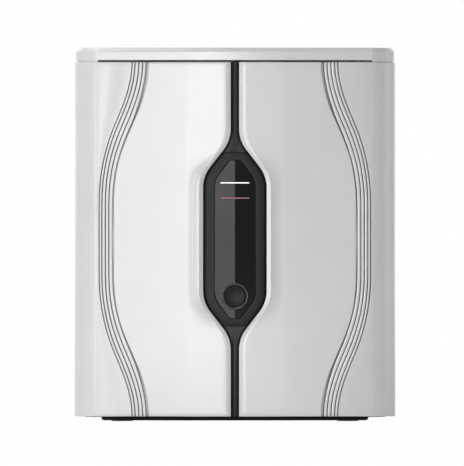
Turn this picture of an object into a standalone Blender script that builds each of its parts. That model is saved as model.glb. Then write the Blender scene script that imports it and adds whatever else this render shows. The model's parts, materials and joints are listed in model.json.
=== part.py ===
"""Benchtop laboratory water purification unit, with two wrap-round doors and a central control spine.

Blender 4.5, metres, +Z up, front towards -Y. The origin is the centre of the footprint, on the bench.
"""

import math

import bmesh
import bpy
from mathutils import Matrix, Vector

MODEL_NAME = "lab_water_purifier"

# Overall size
WIDTH = 0.376
DEPTH = 0.340
HEIGHT = 0.4377

# Fits
FIT = 0.0003  # gap between pieces that touch
RUNNING_GAP = 0.0003  # gap round a piece that turns or slides
OVERRUN = 0.002  # how far a cutter runs past what it cuts

# Levels of the body
BODY_BOTTOM = 0.0056
LID_HEIGHT = 0.0148
LID_GAP = 0.0022
BODY_TOP = HEIGHT - LID_HEIGHT - LID_GAP
MID_Z = (BODY_BOTTOM + BODY_TOP) / 2
HALF_BODY = (BODY_TOP - BODY_BOTTOM) / 2
HALF_WIDTH = WIDTH / 2

# Front face in plan, on each side of a central ridge: an inner panel, an outer panel and a rolled corner
COLLAR_RISE = 0.003
CROWN_X = 0.0575
CROWN_DROP = 0.0018
CREST_X = 0.0421  # crest of the collar at its widest
FACE_Y = -DEPTH / 2 + COLLAR_RISE - CROWN_DROP * CREST_X / CROWN_X
CORNER_WIDTH = 0.0275
CORNER_X = HALF_WIDTH - CORNER_WIDTH
PANEL_DROP = 0.0062
CORNER_DEPTH = 0.034
CORNER_START = math.radians(28)
SIDE_RETURN = 0.020
DOOR_WALL = 0.0035
BEAD_RADIUS = DOOR_WALL
HINGE_X = HALF_WIDTH - BEAD_RADIUS
HINGE_Y = FACE_Y + CROWN_DROP + PANEL_DROP + CORNER_DEPTH + SIDE_RETURN

# Outline of the control pod, seen from the front
REVEAL_WIDTH = 0.005
POD_HALF_WIDTH = CREST_X - REVEAL_WIDTH
SPINE_HALF_WIDTH = 0.0048
POD_SHOULDER = 0.0739  # height above the middle where the side and the slope would meet
POD_SLOPE = 0.772  # half width lost for each unit of height
POD_TURN = math.atan(POD_SLOPE)
POD_RADIUS = 0.040

# Door edge beside the pod
SPINE_RECESS = 0.004
EDGE_BACK = 0.008
EDGE_FLAT = 0.004
REVEAL_SHARES = ((0.0, 1.0), (0.3, 0.3), (1.0, 0.0))
FLANK_SHARES = (0.35, 0.7, 1.0)
COLLAR_FULL = 0.060
COLLAR_END = 0.108

# S-shaped grooves, outermost first
GROOVE_OUTER_MID = CORNER_X - 0.0015
GROOVE_OUTER_TOP = CORNER_X - 0.0388
GROOVE_SPAN_MID = 0.0156
GROOVE_SPAN_TOP = 0.0177
GROOVE_SHARES = (1.0, 0.7, 0.45, 0.2, 0.0)
GROOVE_HALF_WIDTH = 0.0007
GROOVE_WIDE_HALF_WIDTH = 0.0013
GROOVE_DEPTH = 0.0011
GROOVE_TURN = HALF_BODY - 0.071  # height above the middle where the band is half way across
GROOVE_LEVEL = 0.038  # below this height the band runs straight

# Ribs and hinge ends of the doors
RIB_DEPTH = 0.010
RIB_THICKNESS = 0.0025
RIB_CLEARANCE = 0.004
RIB_HEIGHTS = (0.0155 - HALF_BODY, -0.045, 0.045, HALF_BODY - 0.0155)
NOTCH_SIDE = 0.0013
PIN_RADIUS = 0.0015
PIN_LENGTH = 0.012
BRACKET_THICKNESS = 0.005
BRACKET_REACH = 0.022
BRACKET_NOSE = 0.0032
DOOR_SWING_GAP = 0.001

# Sheet metal and panels
SIDE_WALL = 0.0025
SHEET = 0.0015
SIDE_FLANGE = 0.007
SIDE_Y = HINGE_Y + BEAD_RADIUS + DOOR_SWING_GAP
FITTING_REACH = 0.020
REAR_Y = DEPTH / 2 - FITTING_REACH
REAR_RADIUS = 0.012
REAR_RETURN = 0.010
PLATE_INSET = 0.0116
FLOOR_BOTTOM = 0.0048
FLOOR_TOP = 0.0083
TOP_FRAME_BOTTOM = BODY_TOP - 0.0037
TOP_FRAME_THICKNESS = 0.0015

# Plinth and feet
PLINTH_HALF_WIDTH = HALF_WIDTH - 0.0316
PLINTH_INSET = 0.004
PLINTH_REAR = REAR_Y - 0.015
PLINTH_BOTTOM = 0.001
PLINTH_TOP = BODY_BOTTOM - FIT
PLINTH_ROUND = 0.003
FOOT_RADIUS = 0.013
FOOT_HEIGHT = 0.0022
FOOT_INSET = 0.024

# Lid
LID_INSET = 0.001
LID_ROUND = 0.006
LID_WALL = 0.0025
LID_POST_RADIUS = 0.006
LID_POST_X = HALF_WIDTH - 0.048
LID_POST_Y = 0.085

# Spine panel
SPINE_GAP = 0.0008
FLANGE_OUTSET = 0.006
PANEL_WALL = 0.0027
FLANGE_GAP = 0.0004
RIB_X = 0.0018
RIB_RISE = 0.0008
RIB_FOOT = 0.0009
CORE_ROUND = 0.0006
RIB_LEAD = 0.004

# Control pod, front to back
BEZEL_GAP = 0.0013
BEZEL_END = 0.1025
BEZEL_FRONT = FACE_Y + 0.0006
BEZEL_ROUND = 0.0009
WINDOW_INSET = 0.0133
WINDOW_END = 0.0922
RIDGE_Y = FACE_Y - 0.0008
RIDGE_SLOPE = 0.084
WINDOW_EDGE = 0.0006
CORE_Y = FACE_Y + SPINE_RECESS
CORE_BACK = FACE_Y + EDGE_BACK + FLANGE_GAP + PANEL_WALL

# Status lights
WHITE_LIGHT_Z = MID_Z + 0.06605
RED_LIGHT_Z = MID_Z + 0.04825
LIGHT_HALF_LENGTH = 0.0182
LIGHT_HALF_HEIGHT = 0.00095
LIGHT_INSET = 0.0001
LIGHT_END_SHARES = ((1.0, 0.35), (0.985, 0.75), (0.955, 1.0))

# Rotary push control
CONTROL_Z = MID_Z - 0.06685
RING_RADIUS = 0.0150
KNOB_RADIUS = 0.0118
RING_DIP = 0.0020
KNOB_DIP = 0.0012
KNOB_SETBACK = 0.0014
KNOB_THICKNESS = 0.0026
SHAFT_RADIUS = 0.003
ENCODER_HALF = 0.0065
ENCODER_BUSH = 0.0048
ENCODER_FRONT = CORE_BACK + 0.0010
ENCODER_STEP = ENCODER_FRONT + 0.002
PLUNGER_RADIUS = 0.0026
PLUNGER_LENGTH = 0.005

# Display board behind the pod
BOARD_THICKNESS = 0.0016
BOARD_Y = FACE_Y + 0.020
BOARD_HALF_WIDTH = 0.030
BOARD_HALF_HEIGHT = 0.088
STANDOFF_RADIUS = 0.003
STANDOFF_INSET = 0.005

# Spine column and bulkhead
COLUMN_HALF_WIDTH = 0.0415
COLUMN_WINDOW_HALF_WIDTH = 0.034
COLUMN_WINDOW_HALF_HEIGHT = 0.095
COLUMN_Y = CORE_BACK + FIT
BULKHEAD_Y = FACE_Y + 0.126
BULKHEAD_HALF_WIDTH = HALF_WIDTH - 0.012
BULKHEAD_FLANGE = 0.012

# Cartridges
CARTRIDGE_X = HALF_WIDTH - 0.079
CARTRIDGE_Y = FACE_Y + 0.072
CARTRIDGE_RADIUS = {"left": 0.041, "right": 0.0455}
SEAT_WALL = 0.003
SEAT_HEIGHT = 0.018
SEAT_FLOOR = 0.003
CARTRIDGE_BOTTOM = FLOOR_TOP + FIT + SEAT_FLOOR + FIT
CARTRIDGE_SHOULDER = TOP_FRAME_BOTTOM - 0.087
CARTRIDGE_NECK = CARTRIDGE_SHOULDER + 0.019
CARTRIDGE_TOP = CARTRIDGE_NECK + 0.017
NECK_RADIUS = 0.022
COLLAR_RADIUS = 0.034
HEAD_RADIUS = 0.036
HEAD_BOTTOM = CARTRIDGE_NECK + 2 * FIT
HEAD_TOP = CARTRIDGE_TOP + 0.018
HEAD_ARM_HALF = 0.020
PORT_RADIUS = 0.005
PORT_HEIGHT = 0.008
PORT_SPACING = 0.018
CARTRIDGE_SIDES = 24

# Pieces behind the bulkhead
MODULE_X = 0.063 - HALF_WIDTH
MODULE_Y = BULKHEAD_Y + 0.038
MODULE_RADIUS = 0.030
MODULE_BOTTOM = 0.085
MODULE_TOP = TOP_FRAME_BOTTOM - 0.022
CHAMBER_X = -0.045
CHAMBER_Y = BULKHEAD_Y + 0.030
CHAMBER_RADIUS = 0.021
CHAMBER_BOTTOM = 0.100
CHAMBER_TOP = TOP_FRAME_BOTTOM - 0.027
SADDLE_HEIGHT = 0.024
SADDLE_Z = MID_Z + 0.02685
SADDLE_SHARE = 0.8
BALLAST_LO = (0.020, MID_Z - 0.10315)
BALLAST_SIZE = (0.110, 0.034, 0.055)
CONTROLLER_LO = (0.020, MID_Z - 0.01315)
CONTROLLER_SIZE = (0.140, 0.0016, TOP_FRAME_BOTTOM - 0.037 - CONTROLLER_LO[1])
CONTROLLER_STANDOFF = 0.009
CHIP_HEIGHT = 0.008
CHIP_SHARES = ((0.1, 0.1, 0.35, 0.3), (0.5, 0.15, 0.85, 0.35), (0.2, 0.5, 0.45, 0.8))
SUPPLY_LO = (HALF_WIDTH - 0.136, BULKHEAD_Y + 0.042)
SUPPLY_SIZE = (0.112, 0.105, 0.062)
BOOST_X = 0.103 - HALF_WIDTH
BOOST_Y = REAR_Y - 0.048
BOOST_RADIUS = 0.029
BOOST_HALF_LENGTH = 0.050
RECIRCULATION_X = -0.020
RECIRCULATION_Y = BULKHEAD_Y + 0.077
RECIRCULATION_RADIUS = 0.023
RECIRCULATION_HALF_LENGTH = 0.036
PUMP_HEAD_SHARE = 0.9
PUMP_FOOT = 0.006

# Rear connections
FITTING_Z = MID_Z - 0.08315
FEED_X = 0.043 - HALF_WIDTH
DRAIN_X = FEED_X + 0.045
PRODUCT_X = DRAIN_X + 0.045
TUBE_BORE = 0.00405
FITTING_RADIUS = 0.008
FITTING_FLANGE = 0.012
FITTING_FLANGE_THICKNESS = 0.003
FITTING_BORE_DEPTH = 0.020
FITTING_INNER = 0.016
COLLET_RADIUS = 0.0065
COLLET_LENGTH = 0.004
INLET_X = HALF_WIDTH - 0.063
INLET_Z = MID_Z - 0.07815
INLET_HALF = (0.0137, 0.0100)
INLET_WALL = 0.002
INLET_DEPTH = 0.017
INLET_FLANGE_HALF = (0.0250, 0.0135)
INLET_FLANGE_THICKNESS = 0.003
PIN_HALF = (0.001, 0.002)
PIN_SPREAD = 0.007
PIN_DROP = 0.002
PIN_REACH = 0.009
SWITCH_Z = INLET_Z + 0.050
SWITCH_POCKET_HALF = (0.0065, 0.0110)
SWITCH_WALL = 0.002
SWITCH_DEPTH = 0.014
SWITCH_RIM = 0.002
ROCKER_TILT = math.radians(7)
ROCKER_HALF_HEIGHT = 0.0095
VENT_ROWS = 9
VENT_PITCH = 0.009
VENT_HALF_HEIGHT = 0.0015
VENT_HALF_WIDTH = 0.030
VENT_X = 0.080
VENT_Z = BODY_TOP - 0.1207

# Inner water lines
LINE_RADIUS = 0.003
LINE_STEP = 0.012
LINE_NOTCHES = (0.040 - HALF_WIDTH, HALF_WIDTH - 0.088)
LINE_NOTCH_HALF = 0.014
LINE_NOTCH_Z = HEAD_TOP + PORT_HEIGHT
LINE_Z = TOP_FRAME_BOTTOM - 0.0085
LINE_BEND = 0.010
LINE_STRAIGHT = 0.3  # share of each end of a line that runs straight out of its port

# Door magnets
MAGNET_RADIUS = 0.006
MAGNET_Z = MID_Z + 0.160
CATCH_DEPTH = 0.001

ARC_STEPS = 3
CORNER_STEPS = 4
ROUND_SIDES = 20
SMALL_SIDES = 12
SMOOTH_ANGLE = math.radians(32)

FRONT = Matrix.Rotation(math.radians(90), 4, "X")  # a turned piece's top faces the front
REAR = Matrix.Rotation(math.radians(-90), 4, "X")  # a turned piece's top faces the back

WHITE = ("white_moulding", (0.83, 0.84, 0.83), 0.38, 0.0)
BLACK = ("black_moulding", (0.030, 0.031, 0.031), 0.45, 0.0)
BEZEL_BLACK = ("satin_black", (0.034, 0.036, 0.036), 0.35, 0.0)
GLOSS = ("gloss_black", (0.018, 0.019, 0.020), 0.08, 0.0)
WHITE_LIGHT = ("white_light_guide", (0.95, 0.95, 0.95), 0.3, 0.0)
RED_LIGHT = ("red_light_guide", (0.45, 0.12, 0.14), 0.3, 0.0)
STEEL = ("zinc_steel", (0.55, 0.56, 0.57), 0.4, 1.0)
STAINLESS = ("stainless_steel", (0.62, 0.62, 0.60), 0.25, 1.0)
RUBBER = ("rubber", (0.020, 0.020, 0.020), 0.8, 0.0)
GREY = ("grey_moulding", (0.33, 0.35, 0.37), 0.5, 0.0)
BLUE = ("blue_moulding", (0.05, 0.16, 0.36), 0.45, 0.0)
BOARD_GREEN = ("circuit_board", (0.02, 0.14, 0.06), 0.5, 0.0)
BRASS = ("brass", (0.62, 0.45, 0.18), 0.3, 1.0)
LINE = ("water_line", (0.75, 0.80, 0.84), 0.3, 0.0)


def clear_scene():
    for obj in list(bpy.data.objects):
        bpy.data.objects.remove(obj, do_unlink=True)


def new_collection(name):
    made = bpy.data.collections.new(name)
    bpy.context.scene.collection.children.link(made)
    return made


def material(finish):
    name, colour, roughness, metallic = finish
    if name in bpy.data.materials:
        return bpy.data.materials[name]
    made = bpy.data.materials.new(name)
    made.use_nodes = True
    shader = made.node_tree.nodes["Principled BSDF"]
    shader.inputs["Base Color"].default_value = (*colour, 1.0)
    shader.inputs["Roughness"].default_value = roughness
    shader.inputs["Metallic"].default_value = metallic
    made.diffuse_color = (*colour, 1.0)
    return made


def add_part(name, shape, finish, origin=(0.0, 0.0, 0.0)):
    """Makes an object of a bmesh drawn in world coordinates, with its origin at the given point."""
    mesh = bpy.data.meshes.new(name)
    bmesh.ops.recalc_face_normals(shape, faces=shape.faces)
    bmesh.ops.translate(shape, verts=shape.verts, vec=-Vector(origin))
    shape.to_mesh(mesh)
    shape.free()
    mesh.shade_smooth()
    mesh.set_sharp_from_angle(angle=SMOOTH_ANGLE)
    mesh.materials.append(material(finish))
    obj = bpy.data.objects.new(name, mesh)
    obj.location = origin
    PARTS.objects.link(obj)
    return obj


def as_cutter(obj):
    PARTS.objects.unlink(obj)
    CUTTERS.objects.link(obj)
    obj.hide_render = True
    obj.display_type = "WIRE"
    return obj


def boolean(obj, shape, operation):
    """Cuts or joins a bmesh, drawn in world coordinates, with a Boolean modifier."""
    number = len(obj.modifiers)
    other = as_cutter(add_part(f"{obj.name}_{operation.lower()}_{number}", shape, GREY))
    modifier = obj.modifiers.new(f"{operation.lower()}_{number}", "BOOLEAN")
    modifier.operation = operation
    modifier.object = other
    modifier.solver = "EXACT"


def cut(obj, shape):
    boolean(obj, shape, "DIFFERENCE")


def join(obj, shape):
    boolean(obj, shape, "UNION")


def box(lo, hi):
    shape = bmesh.new()
    size = Vector(hi) - Vector(lo)
    middle = (Vector(hi) + Vector(lo)) / 2
    place = Matrix.Translation(middle) @ Matrix.Diagonal((*size, 1.0))
    bmesh.ops.create_cube(shape, size=1.0, matrix=place)
    return shape


def cylinder(radius, start, end, sides=ROUND_SIDES):
    """A cylinder between two points."""
    shape = bmesh.new()
    way = Vector(end) - Vector(start)
    turn = Vector((0.0, 0.0, 1.0)).rotation_difference(way).to_matrix().to_4x4()
    place = Matrix.Translation((Vector(start) + Vector(end)) / 2) @ turn
    bmesh.ops.create_cone(
        shape,
        cap_ends=True,
        segments=sides,
        radius1=radius,
        radius2=radius,
        depth=way.length,
        matrix=place,
    )
    return shape


def loft(sections, ring=False):
    """Joins closed loops of equal counts: capped at both ends, or as a ring from the last to the first."""
    shape = bmesh.new()
    rows = [[shape.verts.new(point) for point in section] for section in sections]
    pairs = list(zip(rows, rows[1:]))
    if ring:
        pairs.append((rows[-1], rows[0]))
    else:
        shape.faces.new(rows[0])
        shape.faces.new(rows[-1])
    count = len(rows[0])
    for low, high in pairs:
        for i in range(count):
            j = (i + 1) % count
            shape.faces.new((low[i], low[j], high[j], high[i]))
    return shape


def prism(outline, low, high):
    """An outline in plan, extruded between two heights."""
    return loft([[(x, y, z) for x, y in outline] for z in (low, high)])


def mirror_x(shape):
    bmesh.ops.scale(shape, verts=shape.verts, vec=(-1.0, 1.0, 1.0))
    return shape


def turned(name, profile, finish, origin, turn=None, sides=ROUND_SIDES):
    """Screws a profile of (radius, height) about its own axis. It runs down the outer side, top to bottom."""
    mesh = bpy.data.meshes.new(name)
    points = [(radius, 0.0, height) for radius, height in profile]
    edges = [(i, i + 1) for i in range(len(points) - 1)]
    mesh.from_pydata(points, edges, [])
    mesh.materials.append(material(finish))
    obj = bpy.data.objects.new(name, mesh)
    PARTS.objects.link(obj)
    obj.matrix_world = Matrix.Translation(origin) @ (turn or Matrix.Identity(4))
    screw = obj.modifiers.new("turn", "SCREW")
    screw.axis = "Z"
    screw.steps = sides
    screw.render_steps = sides
    screw.use_merge_vertices = True
    screw.merge_threshold = 0.00001
    screw.use_smooth_shade = True
    return obj


def tube(name, points, radius, finish):
    """A round line through the given points, on a smooth curve between them."""
    route = [Vector(point) for point in points]
    route.insert(1, route[0].lerp(route[1], LINE_STRAIGHT))
    route.insert(-1, route[-1].lerp(route[-2], LINE_STRAIGHT))
    ends = [route[0] * 2 - route[1], *route, route[-1] * 2 - route[-2]]
    ways = [(after - before).normalized() for before, after in zip(ends, ends[2:])]
    smooth = []
    for start, end, leave, arrive in zip(route, route[1:], ways, ways[1:]):
        length = (end - start).length
        count = max(2, round(length / LINE_STEP))
        for step in range(count):
            t = step / count
            along = leave * (t * (1 - t) ** 2) + arrive * (t * t * (t - 1))
            smooth.append(start.lerp(end, t * t * (3 - 2 * t)) + along * length)
    smooth.append(route[-1])
    data = bpy.data.curves.new(name, "CURVE")
    data.dimensions = "3D"
    data.bevel_depth = radius
    data.bevel_resolution = 1
    data.use_fill_caps = True
    data.materials.append(material(finish))
    spline = data.splines.new("POLY")
    spline.points.add(len(smooth) - 1)
    for point, place in zip(spline.points, smooth):
        point.co = (*place, 1.0)
    obj = bpy.data.objects.new(name, data)
    PARTS.objects.link(obj)
    return obj


def face_drop(x):
    """How far the front face lies behind its foremost line, at a distance from the middle."""
    if x <= CROWN_X:
        return CROWN_DROP * x / CROWN_X
    return CROWN_DROP + PANEL_DROP * (x - CROWN_X) / (CORNER_X - CROWN_X)


def corner_path(inset):
    """The rolled front corner in plan, set in from the outer skin, from the crease to the side."""
    across = HALF_WIDTH - inset - CORNER_X
    back = CORNER_DEPTH - inset
    first = math.sin(CORNER_START)
    path = []
    for i in range(CORNER_STEPS + 1):
        angle = CORNER_START + (math.pi / 2 - CORNER_START) * i / CORNER_STEPS
        x = CORNER_X + across * (math.sin(angle) - first) / (1 - first)
        y = FACE_Y + face_drop(CORNER_X) + inset
        y += back * (math.cos(CORNER_START) - math.cos(angle)) / math.cos(CORNER_START)
        path.append((x, y))
    return path


def pod_marks(outset):
    """The bends of the pod's outline, moved out: arc ends as distances from its middle, and arc radii."""
    wide = POD_HALF_WIDTH + outset
    narrow = SPINE_HALF_WIDTH + outset
    half = math.tan(POD_TURN / 2)
    shoulder = POD_SHOULDER + outset * half
    neck = shoulder + (wide - narrow) / POD_SLOPE
    outer = POD_RADIUS + outset
    inner = POD_RADIUS - outset
    return wide, narrow, shoulder, neck, outer, inner, half


def pod_half_width(s, outset=0.0):
    """Half width of the pod's outline at a distance above or below its middle."""
    wide, narrow, shoulder, neck, outer, inner, half = pod_marks(outset)
    s = abs(s)
    if s <= shoulder - outer * half:
        return wide
    if s <= shoulder + outer * half * math.cos(POD_TURN):
        reach = s - (shoulder - outer * half)
        return wide - outer + math.sqrt(outer**2 - reach**2)
    if s <= neck - inner * half * math.cos(POD_TURN):
        return wide - (s - shoulder) * POD_SLOPE
    if s <= neck + inner * half:
        reach = neck + inner * half - s
        return narrow + inner - math.sqrt(inner**2 - reach**2)
    return narrow


def shoulder_rows(outset=0.0):
    """Distances from the middle that draw the outline's outer bend."""
    _, _, shoulder, _, outer, _, half = pod_marks(outset)
    low = shoulder - outer * half
    high = shoulder + outer * half * math.cos(POD_TURN)
    return [low + (high - low) * i / ARC_STEPS for i in range(ARC_STEPS + 1)]


def neck_rows(outset=0.0):
    """Distances from the middle that draw the outline's inner bend."""
    _, _, _, neck, _, inner, half = pod_marks(outset)
    low = neck - inner * half * math.cos(POD_TURN)
    high = neck + inner * half
    return [low + (high - low) * i / ARC_STEPS for i in range(ARC_STEPS + 1)]


def both_ways(rows):
    return [-s for s in reversed(rows)] + list(rows)


def body_rows():
    """The heights, from the middle, at which the doors and the spine panel are drawn."""
    necks = neck_rows()
    shoulders = shoulder_rows()
    ends = [necks[-1] + (HALF_BODY - necks[-1]) * i / 7 for i in range(1, 8)]
    middle = (shoulders[-1] + necks[0]) / 2
    return both_ways([GROOVE_LEVEL, *shoulders, middle, *necks, *ends])


def collar(s):
    """Height of the raised collar beside the pod."""
    t = (COLLAR_END - abs(s)) / (COLLAR_END - COLLAR_FULL)
    t = min(1.0, max(0.0, t))
    return COLLAR_RISE * t * t * (3 - 2 * t)


def groove_x(s, share):
    """Distance of a groove from the middle: 0 is the outermost, 1 the innermost."""
    s = abs(s)
    if s > GROOVE_TURN:
        end = HALF_BODY - GROOVE_TURN
        rise = (1 - math.sin(math.pi / 2 * (s - GROOVE_TURN) / end)) / 2
    else:
        gone = min(1.0, (GROOVE_TURN - s) / (GROOVE_TURN - GROOVE_LEVEL))
        rise = (2 - (1 - gone) ** 2.2) / 2
    middle = GROOVE_OUTER_MID - GROOVE_SPAN_MID * share
    top = GROOVE_OUTER_TOP - GROOVE_SPAN_TOP * share
    return top + (middle - top) * rise


def groove_points(s):
    """The five grooves across one section, innermost first."""
    points = []
    for share in GROOVE_SHARES:
        x = groove_x(s, share)
        if share == GROOVE_SHARES[0]:
            half = GROOVE_WIDE_HALF_WIDTH
            dips = ((-half, 0.0), (-half / 2, GROOVE_DEPTH), (half / 2, GROOVE_DEPTH), (half, 0.0))
        else:
            half = GROOVE_HALF_WIDTH
            dips = ((-half, 0.0), (0.0, GROOVE_DEPTH), (half, 0.0))
        points += [(x + dx, FACE_Y + face_drop(x + dx) + dy) for dx, dy in dips]
    return points


def bead_points():
    """The round rear edge of a door, about its hinge axis."""
    angles = [math.radians(45) * i for i in range(7)]
    return [
        (HINGE_X + BEAD_RADIUS * math.cos(a), HINGE_Y + BEAD_RADIUS * math.sin(a)) for a in angles
    ]


def door_section(s):
    """Plan section of the right door, from its free edge round the outside and back along the inside."""
    edge = pod_half_width(s)
    crest = edge + REVEAL_WIDTH
    rise = collar(s)
    points = []
    for across, back in REVEAL_SHARES:
        x = edge + REVEAL_WIDTH * across
        front = FACE_Y + face_drop(crest) - rise
        points.append((x, front + (CORE_Y - front) * back))
    for share in FLANK_SHARES:
        x = crest + (CROWN_X - crest) * share
        bump = rise * (1 + math.cos(math.pi * share)) / 2
        points.append((x, FACE_Y + face_drop(x) - bump))
    points += groove_points(s)
    points += corner_path(0.0)
    points += bead_points()
    points += reversed(corner_path(DOOR_WALL))
    points.append((CROWN_X, FACE_Y + face_drop(CROWN_X) + DOOR_WALL))
    points.append((crest + EDGE_FLAT, FACE_Y + EDGE_BACK))
    points.append((edge, FACE_Y + EDGE_BACK))
    return points


def rib_outline(s):
    """Plan of one stiffening rib behind the door's skin."""
    start = max(COLUMN_HALF_WIDTH + RIB_CLEARANCE, pod_half_width(s) + REVEAL_WIDTH + EDGE_FLAT)
    path = []
    for inset in (DOOR_WALL / 2, DOOR_WALL + RIB_DEPTH):
        front = [(x, FACE_Y + face_drop(x) + inset) for x in (start, CROWN_X)]
        path.append(front + corner_path(inset)[:-1])
    return path[0] + path[1][::-1]


def door(side, name):
    """A moulded wrap-round door: a grooved skin with inner ribs, and bores for the hinge pins."""
    sections = [[(x, y, MID_Z + s) for x, y in door_section(s)] for s in body_rows()]
    shapes = {"skin": loft(sections)}
    for s in RIB_HEIGHTS:
        low = MID_Z + s - RIB_THICKNESS / 2
        shapes[f"rib_{s}"] = prism(rib_outline(s), low, low + RIB_THICKNESS)
    arm_bottom = FLOOR_TOP + FIT
    arm_top = TOP_FRAME_BOTTOM - FIT
    reach = BRACKET_THICKNESS + RUNNING_GAP
    notches = (
        (BODY_BOTTOM - OVERRUN, arm_bottom + reach),
        (arm_top - reach, BODY_TOP + OVERRUN),
    )
    bores = (
        (arm_bottom + reach - OVERRUN, arm_bottom + reach + PIN_LENGTH + FIT),
        (arm_top - reach - PIN_LENGTH - FIT, arm_top - reach + OVERRUN),
    )
    notch_x = HALF_WIDTH - 2 * BEAD_RADIUS - NOTCH_SIDE
    notch_y = HINGE_Y - BEAD_RADIUS - NOTCH_SIDE
    cuts = []
    for low, high in notches:
        far = (HALF_WIDTH + OVERRUN, HINGE_Y + BEAD_RADIUS + OVERRUN, high)
        cuts.append(box((notch_x, notch_y, low), far))
    for low, high in bores:
        bottom = (HINGE_X, HINGE_Y, low)
        cuts.append(
            cylinder(PIN_RADIUS + RUNNING_GAP, bottom, (HINGE_X, HINGE_Y, high), SMALL_SIDES)
        )
    if side < 0:
        for shape in (*shapes.values(), *cuts):
            mirror_x(shape)
    skin = shapes.pop("skin")
    obj = add_part(name, skin, WHITE, (side * HINGE_X, HINGE_Y, MID_Z))
    for shape in shapes.values():
        join(obj, shape)
    for shape in cuts:
        cut(obj, shape)
    return obj


def hinge_bracket(side, name, top):
    """A flat arm with a round nose and an upright pin, on the floor or under the top frame."""
    low = TOP_FRAME_BOTTOM - FIT - BRACKET_THICKNESS if top else FLOOR_TOP + FIT
    high = low + BRACKET_THICKNESS
    nose = [
        (
            HINGE_X + BRACKET_NOSE * math.cos(math.radians(angle)),
            HINGE_Y + BRACKET_NOSE * math.sin(math.radians(angle)),
        )
        for angle in range(-90, 91, 30)
    ]
    inner = HINGE_X - BRACKET_REACH
    outline = [*nose, (inner, HINGE_Y + BRACKET_NOSE), (inner, HINGE_Y - BRACKET_NOSE)]
    arm = prism(outline, low, high)
    ends = (low - PIN_LENGTH, low + OVERRUN) if top else (high - OVERRUN, high + PIN_LENGTH)
    pin = cylinder(
        PIN_RADIUS, (HINGE_X, HINGE_Y, ends[0]), (HINGE_X, HINGE_Y, ends[1]), SMALL_SIDES
    )
    if side < 0:
        mirror_x(arm)
        mirror_x(pin)
    obj = add_part(name, arm, STEEL, (side * HINGE_X, HINGE_Y, low))
    join(obj, pin)


def plate_outline():
    """Plan of the floor and of the top frame: inside the doors in front, and out to the panels behind."""
    side = HALF_WIDTH - SIDE_WALL - FIT
    behind = SIDE_Y + SIDE_WALL + FIT
    rear = REAR_Y - SIDE_WALL - FIT
    front = [(x, FACE_Y + face_drop(x) + PLATE_INSET) for x in (0.0, CROWN_X)]
    right = front + corner_path(PLATE_INSET)
    step = right[-1][0]
    corner = REAR_RADIUS
    right += [(step, behind), (side, behind), (side, rear - corner), (side - corner, rear)]
    return right + [(-x, y) for x, y in reversed(right) if x > 0]


def body_outline(inset):
    """Plan of the whole body, set in from its outer skin."""
    side = HALF_WIDTH - inset
    rear = REAR_Y - inset
    corner = REAR_RADIUS - inset
    right = [(x, FACE_Y + face_drop(x) + inset) for x in (0.0, CROWN_X)]
    right += corner_path(inset)
    for i in range(ARC_STEPS + 1):
        angle = math.pi / 2 * i / ARC_STEPS
        x = side - corner + corner * math.cos(angle)
        right.append((x, rear - corner + corner * math.sin(angle)))
    return right + [(-x, y) for x, y in reversed(right) if x > 0]


def base_tray():
    """The floor with its plinth, and pockets for the feet."""
    obj = add_part("base_tray", prism(plate_outline(), FLOOR_BOTTOM, FLOOR_TOP), BLACK)
    front = [(x, FACE_Y + face_drop(x) + PLINTH_INSET) for x in (0.0, CROWN_X, PLINTH_HALF_WIDTH)]
    right = [*front, (PLINTH_HALF_WIDTH, PLINTH_REAR)]
    outline = right + [(-x, y) for x, y in reversed(right) if x > 0]
    plinth = prism(outline, PLINTH_BOTTOM, PLINTH_TOP)
    rim = [e for e in plinth.edges if all(v.co.z < PLINTH_BOTTOM + FIT for v in e.verts)]
    bmesh.ops.bevel(plinth, geom=rim, offset=PLINTH_ROUND, segments=2, affect="EDGES", profile=0.5)
    join(obj, plinth)
    for x, y in foot_places():
        cut(obj, cylinder(FOOT_RADIUS + FIT, (x, y, -OVERRUN), (x, y, FOOT_HEIGHT + FIT)))


def foot_places():
    x = PLINTH_HALF_WIDTH - FOOT_INSET
    front = FACE_Y + face_drop(x) + PLINTH_INSET + FOOT_INSET
    return [(side * x, y) for side in (-1, 1) for y in (front, PLINTH_REAR - FOOT_INSET)]


def rubber_feet():
    for number, (x, y) in enumerate(foot_places(), 1):
        profile = [
            (0.0, FOOT_HEIGHT),
            (FOOT_RADIUS, FOOT_HEIGHT),
            (FOOT_RADIUS, FOOT_HEIGHT / 3),
            (FOOT_RADIUS * 0.95, 0.0),
            (0.0, 0.0),
        ]
        turned(f"rubber_foot_{number}", profile, RUBBER, (x, y, 0.0))


def top_frame():
    high = TOP_FRAME_BOTTOM + TOP_FRAME_THICKNESS
    add_part("top_frame", prism(plate_outline(), TOP_FRAME_BOTTOM, high), STEEL)


def lid():
    """A hollow cap with a rounded upper edge and four posts that stand on the top frame."""
    bottom = HEIGHT - LID_HEIGHT
    shape = prism(body_outline(LID_INSET), bottom, HEIGHT)
    rim = [
        edge for edge in shape.edges if all(abs(v.co.z - HEIGHT) < FIT for v in edge.verts)
    ]
    bmesh.ops.bevel(shape, geom=rim, offset=LID_ROUND, segments=3, affect="EDGES", profile=0.5)
    obj = add_part("lid", shape, WHITE)
    inner = body_outline(LID_INSET + LID_ROUND)
    cut(obj, prism(inner, bottom - OVERRUN, HEIGHT - LID_WALL))
    low = TOP_FRAME_BOTTOM + TOP_FRAME_THICKNESS + FIT
    for side in (-1, 1):
        for y in (-LID_POST_Y, LID_POST_Y):
            x = side * LID_POST_X
            top = (x, y, HEIGHT - LID_WALL / 2)
            join(obj, cylinder(LID_POST_RADIUS, (x, y, low), top, SMALL_SIDES))


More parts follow.
